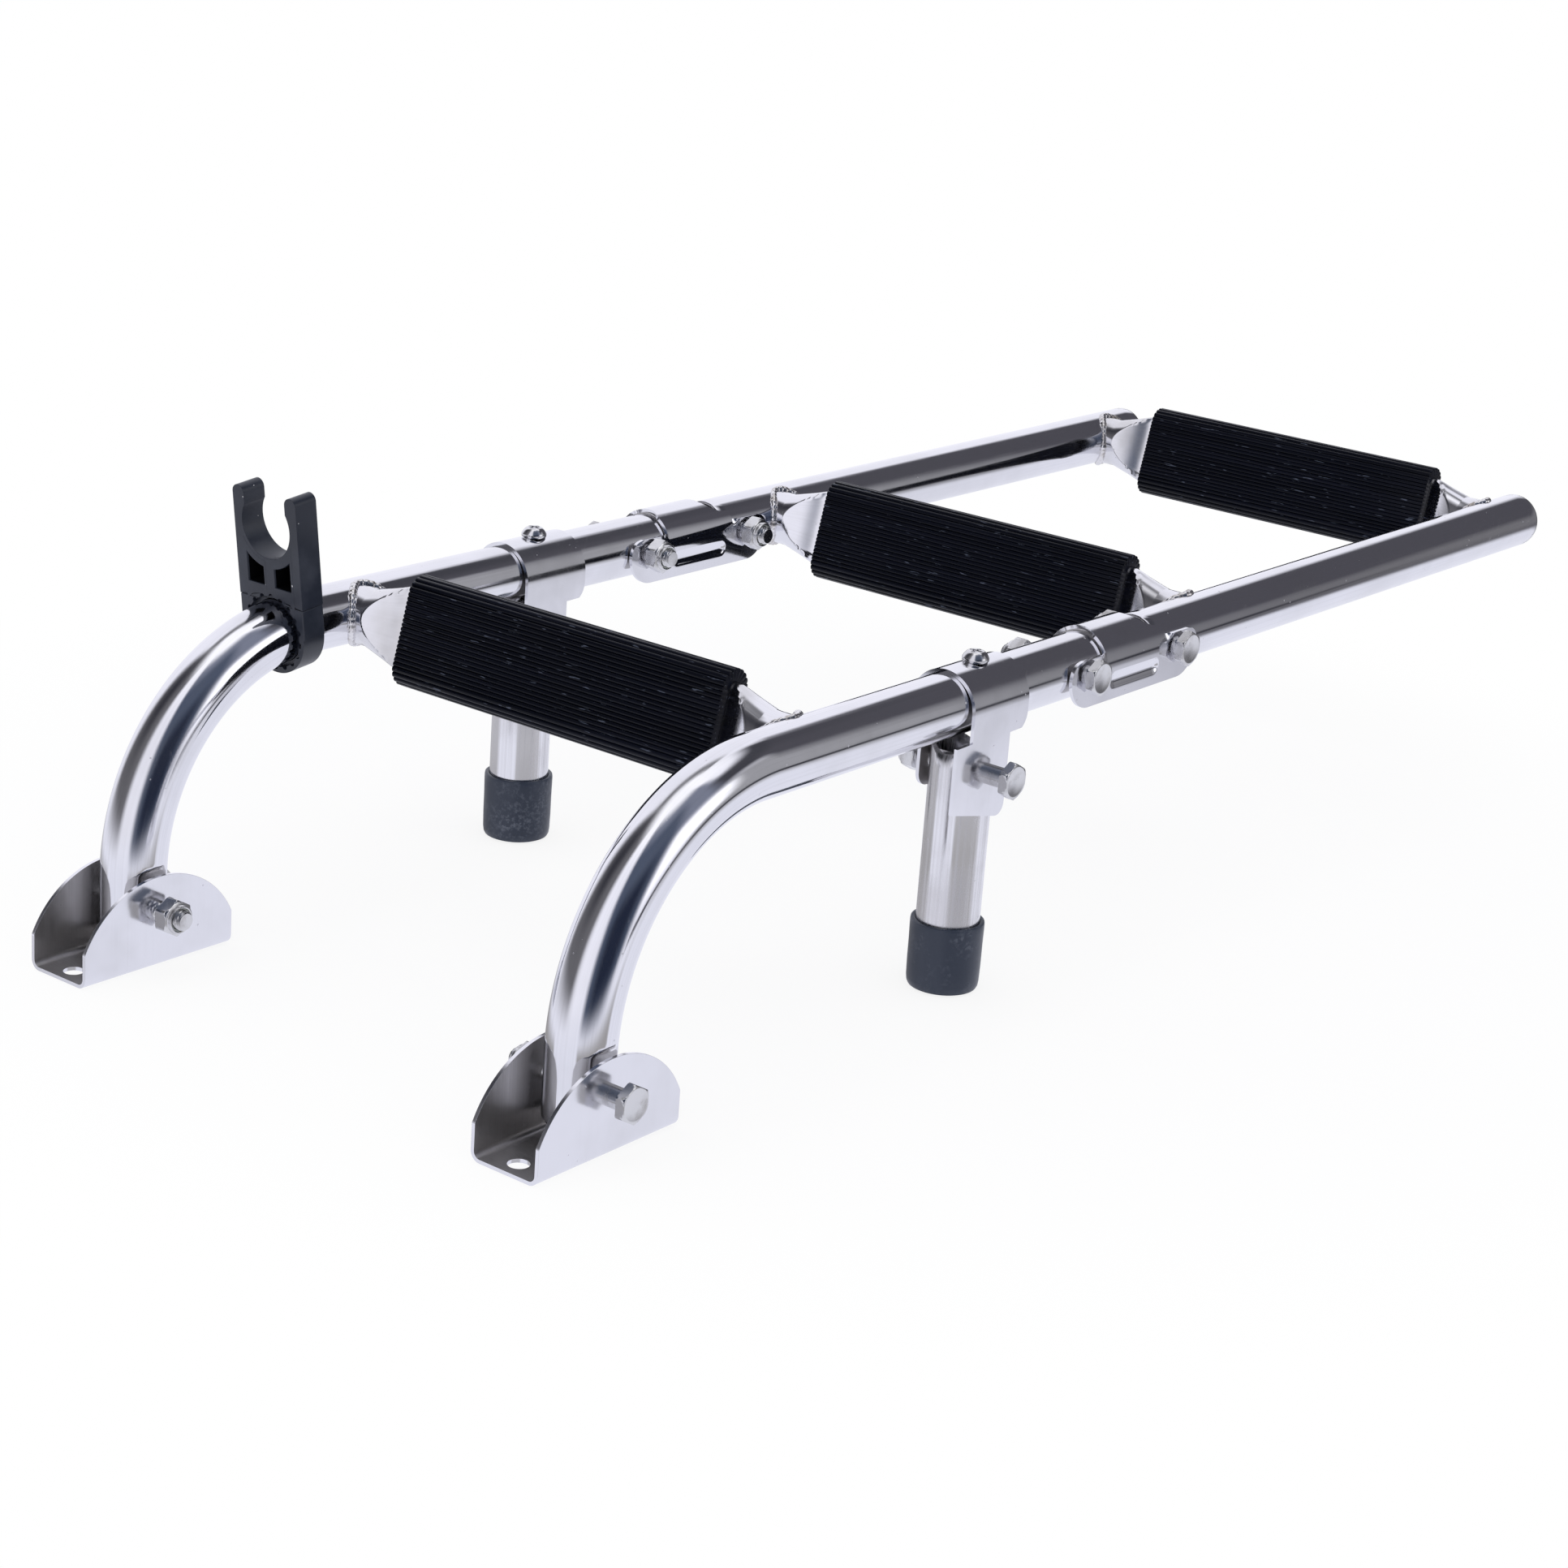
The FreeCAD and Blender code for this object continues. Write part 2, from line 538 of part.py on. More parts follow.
# Standoff legs: short tubes that fold up under the rails, rounded above their
# bolts to clear them, with rubber tips.
for side, y, sign in SIDES:
    tube = rod("z", ("tee_middle", y, "leg_foot"), "tube_r",
               leg_bolt + " + leg_over - leg_foot")
    bore = rod("z", ("tee_middle", y, "leg_foot - 1"), "tube_r - tube_wall",
               leg_bolt + " + leg_over - leg_foot + 2")
    hole = rod("y", ("tee_middle", y + " - 30", leg_bolt),
               "bolt_r + bolt_room", "60")
    round_top = rod("y", ("tee_middle", y + " - 20", leg_bolt), "leg_over", "40")
    below = block(("tee_middle - 20", y + " - 20", "0"), ("40", "40", leg_bolt))
    shaped = overlap([tube, join([round_top, below])])
    piece(side + "_leg", remove(shaped, [bore, hole]))
    outside = rod("z", ("tee_middle", y, "0"), "tip_r", "tip_height")
    socket = rod("z", ("tee_middle", y, "leg_foot"), "tube_r", "tip_height")
    recess = rod("z", ("tee_middle", y, "-1"), "tube_r - 4", "2.2")
    chamfer = doc.addObject("Part::Cone", "taper")
    chamfer.setExpression("Radius1", cells("tip_r - 1"))
    chamfer.setExpression("Radius2", cells("tip_r + 2"))
    chamfer.setExpression("Height", "3")
    place(chamfer, ("tee_middle", y, "0"))
    top = rod("z", ("tee_middle", y, "3"), "tip_r + 3", "tip_height")
    tip = overlap([outside, join([chamfer, top])])
    piece(side + "_leg_tip", remove(tip, [socket, recess]))

def bulge(y, way, plane):
    # long shallow cylinder that stands bead_depth through the plane of a cheek
    curve = "((bead_r * bead_r + bead_depth * bead_depth) / (2 * bead_depth))"
    middle = "%s %s (%s + %s - bead_depth)" % (y, way, plane, curve)
    return rod("x", ("hinge_one + bead_back", middle, "rail_height - bead_drop"), curve,
               "hinge_pitch - 2 * bead_back")


def swell(half, flat, curved, y):
    # solid under the sheet from the flat ears, at one end, to the arch, at the other
    rise = size("ear_rise")
    narrow = math.sqrt(half * half - rise * rise)
    turn = math.asin(rise / half)
    wires = []
    for x, wide in ((flat, half), (curved, narrow)):
        corners = [(-half, 0), (-wide, rise), (wide, rise), (half, 0)]
        points = [FreeCAD.Vector(x, across, up) for across, up in corners]
        edges = [Part.makeLine(points[place], points[(place + 1) % 4]) for place in range(4)]
        if wide < half:
            bow = half * math.cos(turn / 2)
            up = half * math.sin(turn / 2)
            left = FreeCAD.Vector(x, -bow, up)
            right = FreeCAD.Vector(x, bow, up)
            edges[0] = Part.Arc(points[0], left, points[1]).toShape()
            edges[2] = Part.Arc(points[2], right, points[3]).toShape()
        wires.append(Part.Wire(edges))
    thing = doc.addObject("Part::Feature", "swell")
    thing.Shape = Part.makeLoft(wires, True, True)
    return place(thing, ("0", y, "rail_height"))


# Hinge channels: sheet folded to an arch over the rails. Seen from the side it
# keeps low rounded ears at the two bolts and a closed roof between them, seen
# from above the roof ends in round bays that let the rails swing up, and a
# groove is pressed low into each cheek. The ears are flat round the bolts, so
# that the rails can turn between them, and curve into the roof beyond.
for side, y, sign in SIDES:
    outer = "(tube_r + side_gap + sheet_wall)"
    inner = "(tube_r + side_gap)"
    last = "hinge_one + hinge_pitch"
    start = "hinge_one - hinge_ear"
    run = "(hinge_pitch + 2 * hinge_ear)"
    arch = join([
        rod("x", (start, y, "rail_height"), outer, run),
        block((start, y + " - " + outer, "rail_height - hinge_ear"),
              (run, "2 * " + outer, "hinge_ear")),
    ])
    inside = [
        rod("x", (start + " - 1", y, "rail_height"), inner, run + " + 2"),
        block((start + " - 1", y + " - " + inner, "rail_height - 30"),
              (run + " + 2", "2 * " + inner, "30")),
    ]
    edge = y + " - " + outer
    across = "2 * " + outer
    upper = "(hinge_ear - ear_rise)"
    outline = [
        block(("hinge_one", edge, "rail_height - hinge_ear"),
              ("hinge_pitch", across, "hinge_ear")),
        block(("hinge_one + roof_start", edge, "rail_height - 1"),
              ("hinge_pitch - roof_start - roof_end", across, "30")),
    ]
    ears = join([
        block(("hinge_one - " + upper, edge, "rail_height"),
              (upper + " + ear_flat", across, "ear_rise")),
        block((last + " - ear_flat", edge, "rail_height"),
              (upper + " + ear_flat", across, "ear_rise")),
        rod("y", ("hinge_one - " + upper, edge, "rail_height"), "ear_rise", across),
        rod("y", (last + " + " + upper, edge, "rail_height"), "ear_rise", across),
    ])
    gap = block((start + " - 1", y + " - " + inner, "rail_height - 30"),
                (run + " + 2", "2 * " + inner, "60"))
    turns = []
    for half, name in ((size("tube_r") + size("side_gap") + size("sheet_wall"), "outside"),
                       (size("tube_r") + size("side_gap"), "inside")):
        one = size("hinge_one")
        two = one + size("hinge_pitch")
        turns.append([
            swell(half, one + size("ear_flat"), one + size("roof_start"), y),
            swell(half, two - size("ear_flat"), two - size("roof_end"), y),
        ])
    cheeks = [remove(ears, [gap])]
    cheeks += [remove(full, [hollow]) for full, hollow in zip(*turns)]
    for x in ("hinge_one", last):
        disc = rod("y", (x, edge, "rail_height"), "hinge_ear", across)
        lower = block((x + " - 20", edge, "rail_height - 20"), ("40", across, "20"))
        outline.append(overlap([disc, lower]))
    bay_middle = last + " - end_bay_back + end_bay"
    bays = [
        rod("z", ("hinge_one", y, "rail_height + ear_rise"), "roof_bay", "30"),
        rod("z", (bay_middle, y, "rail_height + ear_rise"), "end_bay", "30"),
        block((bay_middle, y + " - end_bay", "rail_height + ear_rise"),
              ("30", "2 * end_bay", "30")),
    ]
    body = overlap([remove(arch, inside), join(outline)])
    body = remove(body, bays)
    body = join([body] + cheeks)
    between = block(("hinge_one", y + " - " + outer, "rail_height - hinge_ear"),
                    ("hinge_pitch", "2 * " + outer, "2 * hinge_ear"))
    ridges = [overlap([bulge(y, way, inner), between]) for way in ("-", "+")]
    grooves = [bulge(y, way, outer) for way in ("-", "+")]
    body = remove(join([body] + ridges), grooves)
    bores = [rod("y", (x, y + " - 30", "rail_height"), "bolt_r", "60")
             for x in ("hinge_one", last)]
    piece(side + "_hinge_channel", remove(body, bores))
    both = [crossbolt(x, "rail_height", y, sign, "hinge_bolt_off", "hinge_nut_off", "side_gap")
            for x in ("hinge_one", last)]
    for number, (bolt, nut) in enumerate(both, 1):
        piece("%s_hinge_bolt_%d" % (side, number), bolt)
        piece("%s_hinge_nut_%d" % (side, number), nut)

# Storage clip on the left rail: a moulded hook for the folded lower rail over
# a saddle that clamps round the start of the bend.
lean = "clip_angle * 1 deg"
clip_turn = FreeCAD.Rotation(FreeCAD.Vector(0, 1, 0), -size("clip_angle"))


def clip_at(up, forth, across):
    # a place up the clip, forth along the rail and across it
    reach = "(bend_radius + %s)" % up
    x = "bend_radius - %s * sin(%s) + (%s) * cos(%s)" % (reach, lean, forth, lean)
    z = "rail_height - bend_radius + %s * cos(%s) + (%s) * sin(%s)" % (reach, lean, forth, lean)
    return x, "rail_spacing + (%s)" % across, z


def clip_block(up, forth, across, sides):
    thing = block(("0", "0", "0"), sides)
    return place(thing, clip_at(up, forth, across), clip_turn)


def clip_rod(up, forth, across, radius, length):
    thing = rod("x", ("0", "0", "0"), radius, length)
    return place(thing, clip_at(up, forth, across), clip_turn * TURNS["x"])


def clip_bores():
    # the rail's bore, and the toothed recess round it on the side to the bracket
    tools = [
        clip_rod("0", back + " - 1", "0", "tube_r + clip_seat", "clip_thick + 2"),
        clip_rod("0", back + " - 1", "0", "tube_r + recess_room", "clip_recess + 1"),
    ]
    for k in range(18):
        turn = "%d deg" % (20 * k + 10)
        tools.append(clip_rod("(tube_r + recess_room) * sin(%s)" % turn, back + " - 1",
                              "(tube_r + recess_room) * cos(%s)" % turn, "tooth_r",
                              "clip_recess + 1"))
    return tools


back = "-clip_thick / 2"
tips = [
    clip_rod("(clip_rise + clip_tip_rise)", back, way + "(clip_mouth + clip_tip)",
             "clip_tip", "clip_thick")
    for way in ("", "-")
]
slab = clip_block("clip_split", back, "-clip_width / 2",
                  ("clip_thick", "clip_width", "clip_rise + clip_tip_rise - clip_split"))
mouth = clip_block("clip_rise", back + " - 1", "-clip_mouth",
                   ("clip_thick + 2", "2 * clip_mouth", "60"))
hook = clip_rod("clip_rise", back + " - 1", "0", "clip_bore", "clip_thick + 2")
pockets = []
for start in ("pocket_inner", "-pocket_outer"):
    pocket = clip_block("0", back + " - 1", start,
                        ("pocket_depth + 1", "pocket_outer - pocket_inner", "clip_rise"))
    rims = [
        clip_rod("clip_rise", back + " - 2", "0", "clip_bore + pocket_rim", "clip_thick"),
        clip_rod("0", back + " - 2", "0", "tube_r + recess_room + tooth_r + pocket_rim",
                 "clip_thick"),
    ]
    pockets.append(remove(pocket, rims))
piece("storage_clip", remove(join([slab] + tips), [mouth, hook] + clip_bores() + pockets))

saddle_sides = clip_block("0", back, "-clip_width / 2",
                          ("clip_thick", "clip_width", "clip_split - 0.15"))
saddle_round = clip_rod("0", back, "0", "clip_round", "clip_thick")
saddle_top = clip_block("(clip_split - 0.15)", back + " - 1", "-30",
                        ("clip_thick + 2", "60", "30"))
piece("clip_saddle", remove(join([saddle_sides, saddle_round]), [saddle_top] + clip_bores()))

doc.recompute()
for thing in doc.Objects:
    if "Invalid" in thing.State or "Error" in thing.State:
        raise RuntimeError("%s did not build" % thing.Label)
os.makedirs("parts", exist_ok=True)
for thing in pieces:
    shape = thing.Shape
    if shape.isNull() or not shape.isValid():
        raise RuntimeError("%s is not valid" % thing.Label)
    print(thing.Label, len(shape.Solids), round(shape.Volume), [round(v, 1) for v in (
        shape.BoundBox.XMin, shape.BoundBox.XMax, shape.BoundBox.YMin, shape.BoundBox.YMax,
        shape.BoundBox.ZMin, shape.BoundBox.ZMax)])
    shape.exportStep("parts/%s.step" % thing.Label)
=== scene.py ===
import math

import bmesh
import bpy
import numpy as np
from mathutils import Matrix


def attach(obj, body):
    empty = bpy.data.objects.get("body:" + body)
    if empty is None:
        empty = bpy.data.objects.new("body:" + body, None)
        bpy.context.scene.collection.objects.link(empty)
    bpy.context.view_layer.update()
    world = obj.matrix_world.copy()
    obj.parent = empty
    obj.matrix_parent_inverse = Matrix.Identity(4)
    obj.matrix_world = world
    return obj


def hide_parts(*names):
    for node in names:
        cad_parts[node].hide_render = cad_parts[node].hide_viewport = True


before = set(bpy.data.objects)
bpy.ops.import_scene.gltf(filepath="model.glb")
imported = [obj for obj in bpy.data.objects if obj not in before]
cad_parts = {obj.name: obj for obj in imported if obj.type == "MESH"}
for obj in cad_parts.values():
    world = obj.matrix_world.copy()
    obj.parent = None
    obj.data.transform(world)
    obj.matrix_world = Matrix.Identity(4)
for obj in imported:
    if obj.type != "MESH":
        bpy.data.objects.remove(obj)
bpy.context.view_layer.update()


# THE STUDIO
# A pale seamless floor and backdrop under one wide soft lamp. One side of the
# room is a dim wall, which the polished steel mirrors as its dark bands.

def node(tree, kind, sockets=(), **traits):
    """A node of one kind, its traits set and its input sockets filled or linked."""
    made = tree.nodes.new(kind)
    for name, value in traits.items():
        setattr(made, name, value)
    for name, value in dict(sockets).items():
        if isinstance(value, bpy.types.NodeSocket):
            tree.links.new(value, made.inputs[name])
        else:
            made.inputs[name].default_value = value
    return made


def worked(tree, operation, *values):
    """The result of one math node on its values."""
    return node(tree, "ShaderNodeMath", dict(enumerate(values)), operation=operation).outputs[0]


def stepped(tree, value, low, high, start=0.0, end=1.0):
    """Start below low, end above high, and a smooth step between them."""
    sockets = {"Value": value, "From Min": low, "From Max": high, "To Min": start, "To Max": end}
    return node(tree, "ShaderNodeMapRange", sockets, interpolation_type="SMOOTHSTEP").outputs[0]


def blended(tree, share, first, second):
    """The mix of two colours by a share."""
    made = node(tree, "ShaderNodeMix", data_type="RGBA")
    for socket, value in ((0, share), (6, first), (7, second)):
        if isinstance(value, bpy.types.NodeSocket):
            tree.links.new(value, made.inputs[socket])
        else:
            made.inputs[socket].default_value = value
    return made.outputs[2]


def grouped(name, inputs, outputs):
    """An empty node group with its named inputs and outputs."""
    group = bpy.data.node_groups.new(name, "ShaderNodeTree")
    for label, kind, value in inputs:
        socket = group.interface.new_socket(label, in_out="INPUT", socket_type="NodeSocket" + kind)
        if kind == "Float":
            socket.default_value = value
    for label, kind in outputs:
        group.interface.new_socket(label, in_out="OUTPUT", socket_type="NodeSocket" + kind)
    return group, node(group, "NodeGroupInput").outputs


def placed(tree, group, **values):
    """One of the node groups set into a material, with its values."""
    used = node(tree, "ShaderNodeGroup", node_tree=group)
    for name, value in values.items():
        if isinstance(value, bpy.types.NodeSocket):
            tree.links.new(value, used.inputs[name])
        else:
            used.inputs[name].default_value = value
    return used.outputs[0]


def colour(red, green, blue):
    """An opaque colour for a socket."""
    return (red, green, blue, 1.0)


scene = bpy.context.scene
scene.view_settings.view_transform = "Standard"
room = bpy.data.worlds.new("studio_room")
scene.world = room
room.use_nodes = True
tree = room.node_tree
tree.nodes.clear()
looking = node(tree, "ShaderNodeSeparateXYZ",
               {0: node(tree, "ShaderNodeTexCoord").outputs["Generated"]}).outputs
azimuth = worked(tree, "DEGREES", worked(tree, "ARCTAN2", looking["Y"], looking["X"]))
height = worked(tree, "DEGREES", worked(tree, "ARCSINE", looking["Z"]))
panel, given = grouped("panel", [(name, "Float", 0.0) for name in
                                 ("Azimuth", "Height", "From", "To", "Low", "High", "Soft")],
                       [("Mask", "Float")])
sides = []
for value, low, high in (("Azimuth", "From", "To"), ("Height", "Low", "High")):
    for edge, sign in ((low, 1.0), (high, -1.0)):
        past = worked(panel, "MULTIPLY", worked(panel, "SUBTRACT", given[value], given[edge]), sign)
        soft = worked(panel, "DIVIDE", past, given["Soft"])
        sides.append(stepped(panel, soft, -1.0, 1.0))
mask = worked(panel, "MULTIPLY", worked(panel, "MULTIPLY", sides[0], sides[1]),
              worked(panel, "MULTIPLY", sides[2], sides[3]))
node(panel, "NodeGroupOutput", {"Mask": mask})

# each panel: azimuth and height in degrees from and to, softness, brightness
PANELS = ((97, 166, -3, 71, 10, (0.150, 0.148, 0.160)),
          (104, 138, 22, 64, 16, (0.040, 0.040, 0.050)),
          (24, 100, 59, 71, 5, (0.21, 0.21, 0.225)),
          (-150, -52, 30, 76, 9, (0.22, 0.24, 0.31)),
          (-150, -83, -10, 62, 8, (0.085, 0.105, 0.155)),
          (-136, -94, -7, 34, 11, (0.018, 0.024, 0.046)),
          (-60, 12, 33, 56, 6, (0.060, 0.060, 0.072)),
          (-58, -29, -12, 33, 6, (0.37, 0.37, 0.39)),
          (-34, 18, -15, 41, 5, (0.082, 0.080, 0.095)),
          (-33, 6, -11, 8, 6, (0.19, 0.187, 0.20)),
          (-76, -30, -8, -4, 2, (0.03, 0.03, 0.04)),
          (50, 128, -27, -17, 4, (0.36, 0.35, 0.35)),
          (-152, -58, -27, -17, 4, (0.38, 0.37, 0.37)))
tone = blended(tree, stepped(tree, height, 50, 80), colour(0.98, 0.98, 1.06),
               colour(1.22, 1.22, 1.26))
tone = blended(tree, stepped(tree, height, 6, -22), tone, colour(0.86, 0.87, 0.96))
for start, end, low, high, soft, bright in PANELS:
    mask = placed(tree, panel, Azimuth=azimuth, Height=height, From=start, To=end, Low=low,
                  High=high, Soft=soft)
    tone = blended(tree, mask, tone, colour(*bright))
lit_panel = placed(tree, panel, Azimuth=azimuth, Height=height, From=-80, To=-53, Low=2,
                   High=28, Soft=4)
tone = blended(tree, lit_panel, tone, colour(1.35, 1.35, 1.40))
mirrored = node(tree, "ShaderNodeBackground", {"Color": tone}).outputs[0]
lit = node(tree, "ShaderNodeBackground", {"Color": colour(0.86, 0.86, 0.88)}).outputs[0]
white = node(tree, "ShaderNodeBackground", {"Color": colour(1, 1, 1)}).outputs[0]
rays = node(tree, "ShaderNodeLightPath").outputs
lit_room = node(tree, "ShaderNodeMixShader",
                {0: rays["Is Glossy Ray"], 1: lit, 2: mirrored}).outputs[0]
seen = worked(tree, "MAXIMUM", rays["Is Camera Ray"], rays["Is Transmission Ray"])
seen_room = node(tree, "ShaderNodeMixShader", {0: seen, 1: lit_room, 2: white}).outputs[0]
node(tree, "ShaderNodeOutputWorld", {"Surface": seen_room})

lamp_data = bpy.data.lights.new("soft_lamp", "AREA")
lamp_data.size = 1.8
lamp_data.energy = 8.0
lamp = bpy.data.objects.new("soft_lamp", lamp_data)
lamp.location = (0.1, -0.2, 1.9)
lamp.visible_glossy = False
scene.collection.objects.link(lamp)

floor_half = 4.0
floor_mesh = bpy.data.meshes.new("floor")
floor_mesh.from_pydata([(-floor_half, -floor_half, -0.0004), (floor_half, -floor_half, -0.0004),
                        (floor_half, floor_half, -0.0004), (-floor_half, floor_half, -0.0004)],
                       [], [(0, 1, 2, 3)])
floor = bpy.data.objects.new("floor", floor_mesh)
scene.collection.objects.link(floor)
floor_finish = bpy.data.materials.new("pale_floor")
floor_finish.use_nodes = True
tree = floor_finish.node_tree
tree.nodes.clear()
place = node(tree, "ShaderNodeTexCoord").outputs["Object"]
away = node(tree, "ShaderNodeVectorMath", {0: place, 1: (0.33, 0.115, 0.0)},
            operation="DISTANCE").outputs["Value"]
paper = node(tree, "ShaderNodeBsdfDiffuse", {"Color": colour(0.92, 0.92, 0.93)}).outputs[0]
glow = node(tree, "ShaderNodeEmission", {"Color": colour(1, 1, 1)}).outputs[0]
rays = node(tree, "ShaderNodeLightPath").outputs
faded = worked(tree, "MULTIPLY", rays["Is Camera Ray"], stepped(tree, away, 0.26, 0.52, 0.84, 1.0))
floor_skin = node(tree, "ShaderNodeMixShader", {0: faded, 1: paper, 2: glow}).outputs[0]
node(tree, "ShaderNodeOutputMaterial", {"Surface": floor_skin})
floor_mesh.materials.append(floor_finish)
floor.visible_glossy = False

turn, rise, roll = np.radians((-52.88, 18.57, 4.29))
aim = np.array((0.26343, 0.12099, 0.04106))
backward = np.array((np.sin(turn) * np.cos(rise), -np.cos(turn) * np.cos(rise), np.sin(rise)))
right = np.cross(-backward, (0, 0, 1))
right /= np.linalg.norm(right)
upward = np.cross(right, -backward)
rolled_right = right * np.cos(roll) + upward * np.sin(roll)
rolled_up = -right * np.sin(roll) + upward * np.cos(roll)
stand = np.eye(4)
stand[:3, 0], stand[:3, 1], stand[:3, 2] = rolled_right, rolled_up, backward
stand[:3, 3] = aim + backward * 1.37312
camera_data = bpy.data.cameras.new("camera")
camera_data.lens = 74.25
camera_data.sensor_width = 36.0
camera = bpy.data.objects.new("camera", camera_data)
camera.matrix_world = Matrix(stand.tolist())
scene.collection.objects.link(camera)
scene.camera = camera


# THE RAILS
# One inch stainless tube, polished bright: the upper pair is bent through a
# quarter turn over the deck brackets and pressed flat at the pivot bolts, the
# lower pair is straight. Both pairs are sawn square and lightly deburred.

SIDES = (("right", 0.0, -1.0), ("left", 0.230, 1.0))
tube_radius = 0.0127
tube_wall = 0.0012
rail_height = 0.119


def skinned(name, *grids):
    """A mesh object from grids of points, each (points, rows closed, columns closed).

    Four neighbours in a grid make one face. The UV map is the distance in
    metres along the rows and round the columns. Doubles are merged, so poles
    and seams close, and the faces of a shell that is inside out are turned.
    """
    spots, corners, charts = [], [], []
    count = 0
    for points, rows_closed, columns_closed in grids:
        rows, columns = points.shape[:2]
        row, column = np.meshgrid(np.arange(rows - (not rows_closed)),
                                  np.arange(columns - (not columns_closed)), indexing="ij")
        row, column = row.ravel(), column.ravel()
        wide = np.concatenate([points, points[:1]], 0)
        wide = np.concatenate([wide, wide[:, :1]], 1)
        along = np.linalg.norm(np.diff(wide, axis=0), axis=2).mean(1)
        along = np.concatenate([[0], np.cumsum(along)])
        around = np.linalg.norm(np.diff(wide, axis=1), axis=2).mean(0)
        around = np.concatenate([[0], np.cumsum(around)])
        quad, chart = [], []
        for down, over in ((0, 0), (0, 1), (1, 1), (1, 0)):
            quad.append(((row + down) % rows) * columns + (column + over) % columns + count)
            chart.append(np.stack([along[row + down], around[column + over]], 1))
        spots.append(points.reshape(-1, 3))
        corners.append(np.stack(quad, 1))
        charts.append(np.stack(chart, 1).reshape(-1, 2))
        count += rows * columns
    spots, corners, charts = (np.concatenate(part) for part in (spots, corners, charts))
    mesh = bpy.data.meshes.new(name)
    mesh.vertices.add(len(spots))
    mesh.vertices.foreach_set("co", spots.astype(np.float32).ravel())
    mesh.loops.add(corners.size)
    mesh.loops.foreach_set("vertex_index", corners.astype(np.int32).ravel())
    mesh.polygons.add(len(corners))
    mesh.polygons.foreach_set("loop_start", np.arange(0, corners.size, 4, dtype=np.int32))
    mesh.uv_layers.new(name="lengths").data.foreach_set("uv", charts.astype(np.float32).ravel())
    mesh.update(calc_edges=True)
    shell = bmesh.new()
    shell.from_mesh(mesh)
    bmesh.ops.remove_doubles(shell, verts=shell.verts, dist=2e-7)
    if shell.calc_volume(signed=True) < 0:
        bmesh.ops.reverse_faces(shell, faces=shell.faces)
    shell.to_mesh(mesh)
    shell.free()
    mesh.shade_smooth()
    mesh.set_sharp_from_angle(angle=math.radians(38))
    made = bpy.data.objects.new(name, mesh)
    scene.collection.objects.link(made)
    return made


def finished(made, material, body, slot, *nodes):
    """The piece gets its material, the body it rides on and the solids it shows; its slot is not used."""
    made.data.materials.append(material)
    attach(made, body)
    if nodes:
        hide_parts(*nodes)
    return made


def tube_shell(centres, outward, sideways, radius, wall, side_limit=None, columns=96):
    """A tube with its bore, closed in both directions.

    Round every point of the path the outer wall is radius times the cosine
    and sine of the turn, along outward and sideways. At the ends the wall is
    rounded off by a small rim and goes back inside, smaller by the wall. The
    sideways offset is held to side_limit, which presses the tube flat.
    """
    count = len(centres)
    run = np.cross(outward, sideways)
    edge = 0.0003
    inner = np.unique(np.concatenate([np.arange(0, count, 3), [count - 1]]))[::-1]
    rim = np.array([(0.3, -0.3), (1, 0)]) * edge
    far = np.concatenate([rim, (wall, 0) - rim[::-1] * (1, -1)])
    near = far[::-1] * (1, -1)
    index = np.concatenate([np.arange(count), np.full(4, count - 1), inner, np.zeros(4, int)])
    inset = np.concatenate([np.zeros(count), far[:, 0], np.full(len(inner), wall), near[:, 0]])
    shift = np.zeros(len(index))
    shift[0], shift[count - 1] = edge, -edge
    shift[count:count + 4] = far[:, 1]
    shift[count + 4], shift[count + 3 + len(inner)] = -edge, edge
    shift[-4:] = near[:, 1]
    turns = np.linspace(0, 2 * np.pi, columns, endpoint=False) + np.pi
    across = (radius - inset)[:, None] * np.sin(turns)
    if side_limit is not None:
        limit = (side_limit[index] - inset)[:, None]
        across = np.clip(across, -limit, limit)
    out = (radius - inset)[:, None] * np.cos(turns)
    middle = centres[index] + shift[:, None] * run[index]
    return (middle[:, None] + out[..., None] * outward[index][:, None]
            + across[..., None] * sideways[index][:, None])


# polish lines: noise drawn out along the metal, many lines across to a few along
polish_lines, given = grouped("polish_lines", [("Vector", "Vector", None),
                                               ("Across", "Float", 2600.0),
                                               ("Along", "Float", 40.0)],
                              [("Height", "Float")])
drawn = node(polish_lines, "ShaderNodeCombineXYZ", {0: given["Along"], 1: given["Across"], 2: 1.0})
drawn = node(polish_lines, "ShaderNodeVectorMath", {0: given["Vector"], 1: drawn.outputs[0]},
             operation="MULTIPLY").outputs[0]
lines = node(polish_lines, "ShaderNodeTexNoise", {"Vector": drawn, "Scale": 1.0, "Detail": 3.0})
node(polish_lines, "NodeGroupOutput", {"Height": lines.outputs[0]})

# smudges: slow cloudy patches from handling and buffing, 0 clean to 1 dull
smudges, given = grouped("smudges", [("Vector", "Vector", None), ("Size", "Float", 18.0)],
                         [("Mask", "Float")])
cloud = node(smudges, "ShaderNodeTexNoise", {"Vector": given["Vector"], "Scale": given["Size"],
                                             "Detail": 4.0, "Roughness": 0.62}).outputs[0]
node(smudges, "NodeGroupOutput", {"Mask": stepped(smudges, cloud, 0.42, 0.72)})

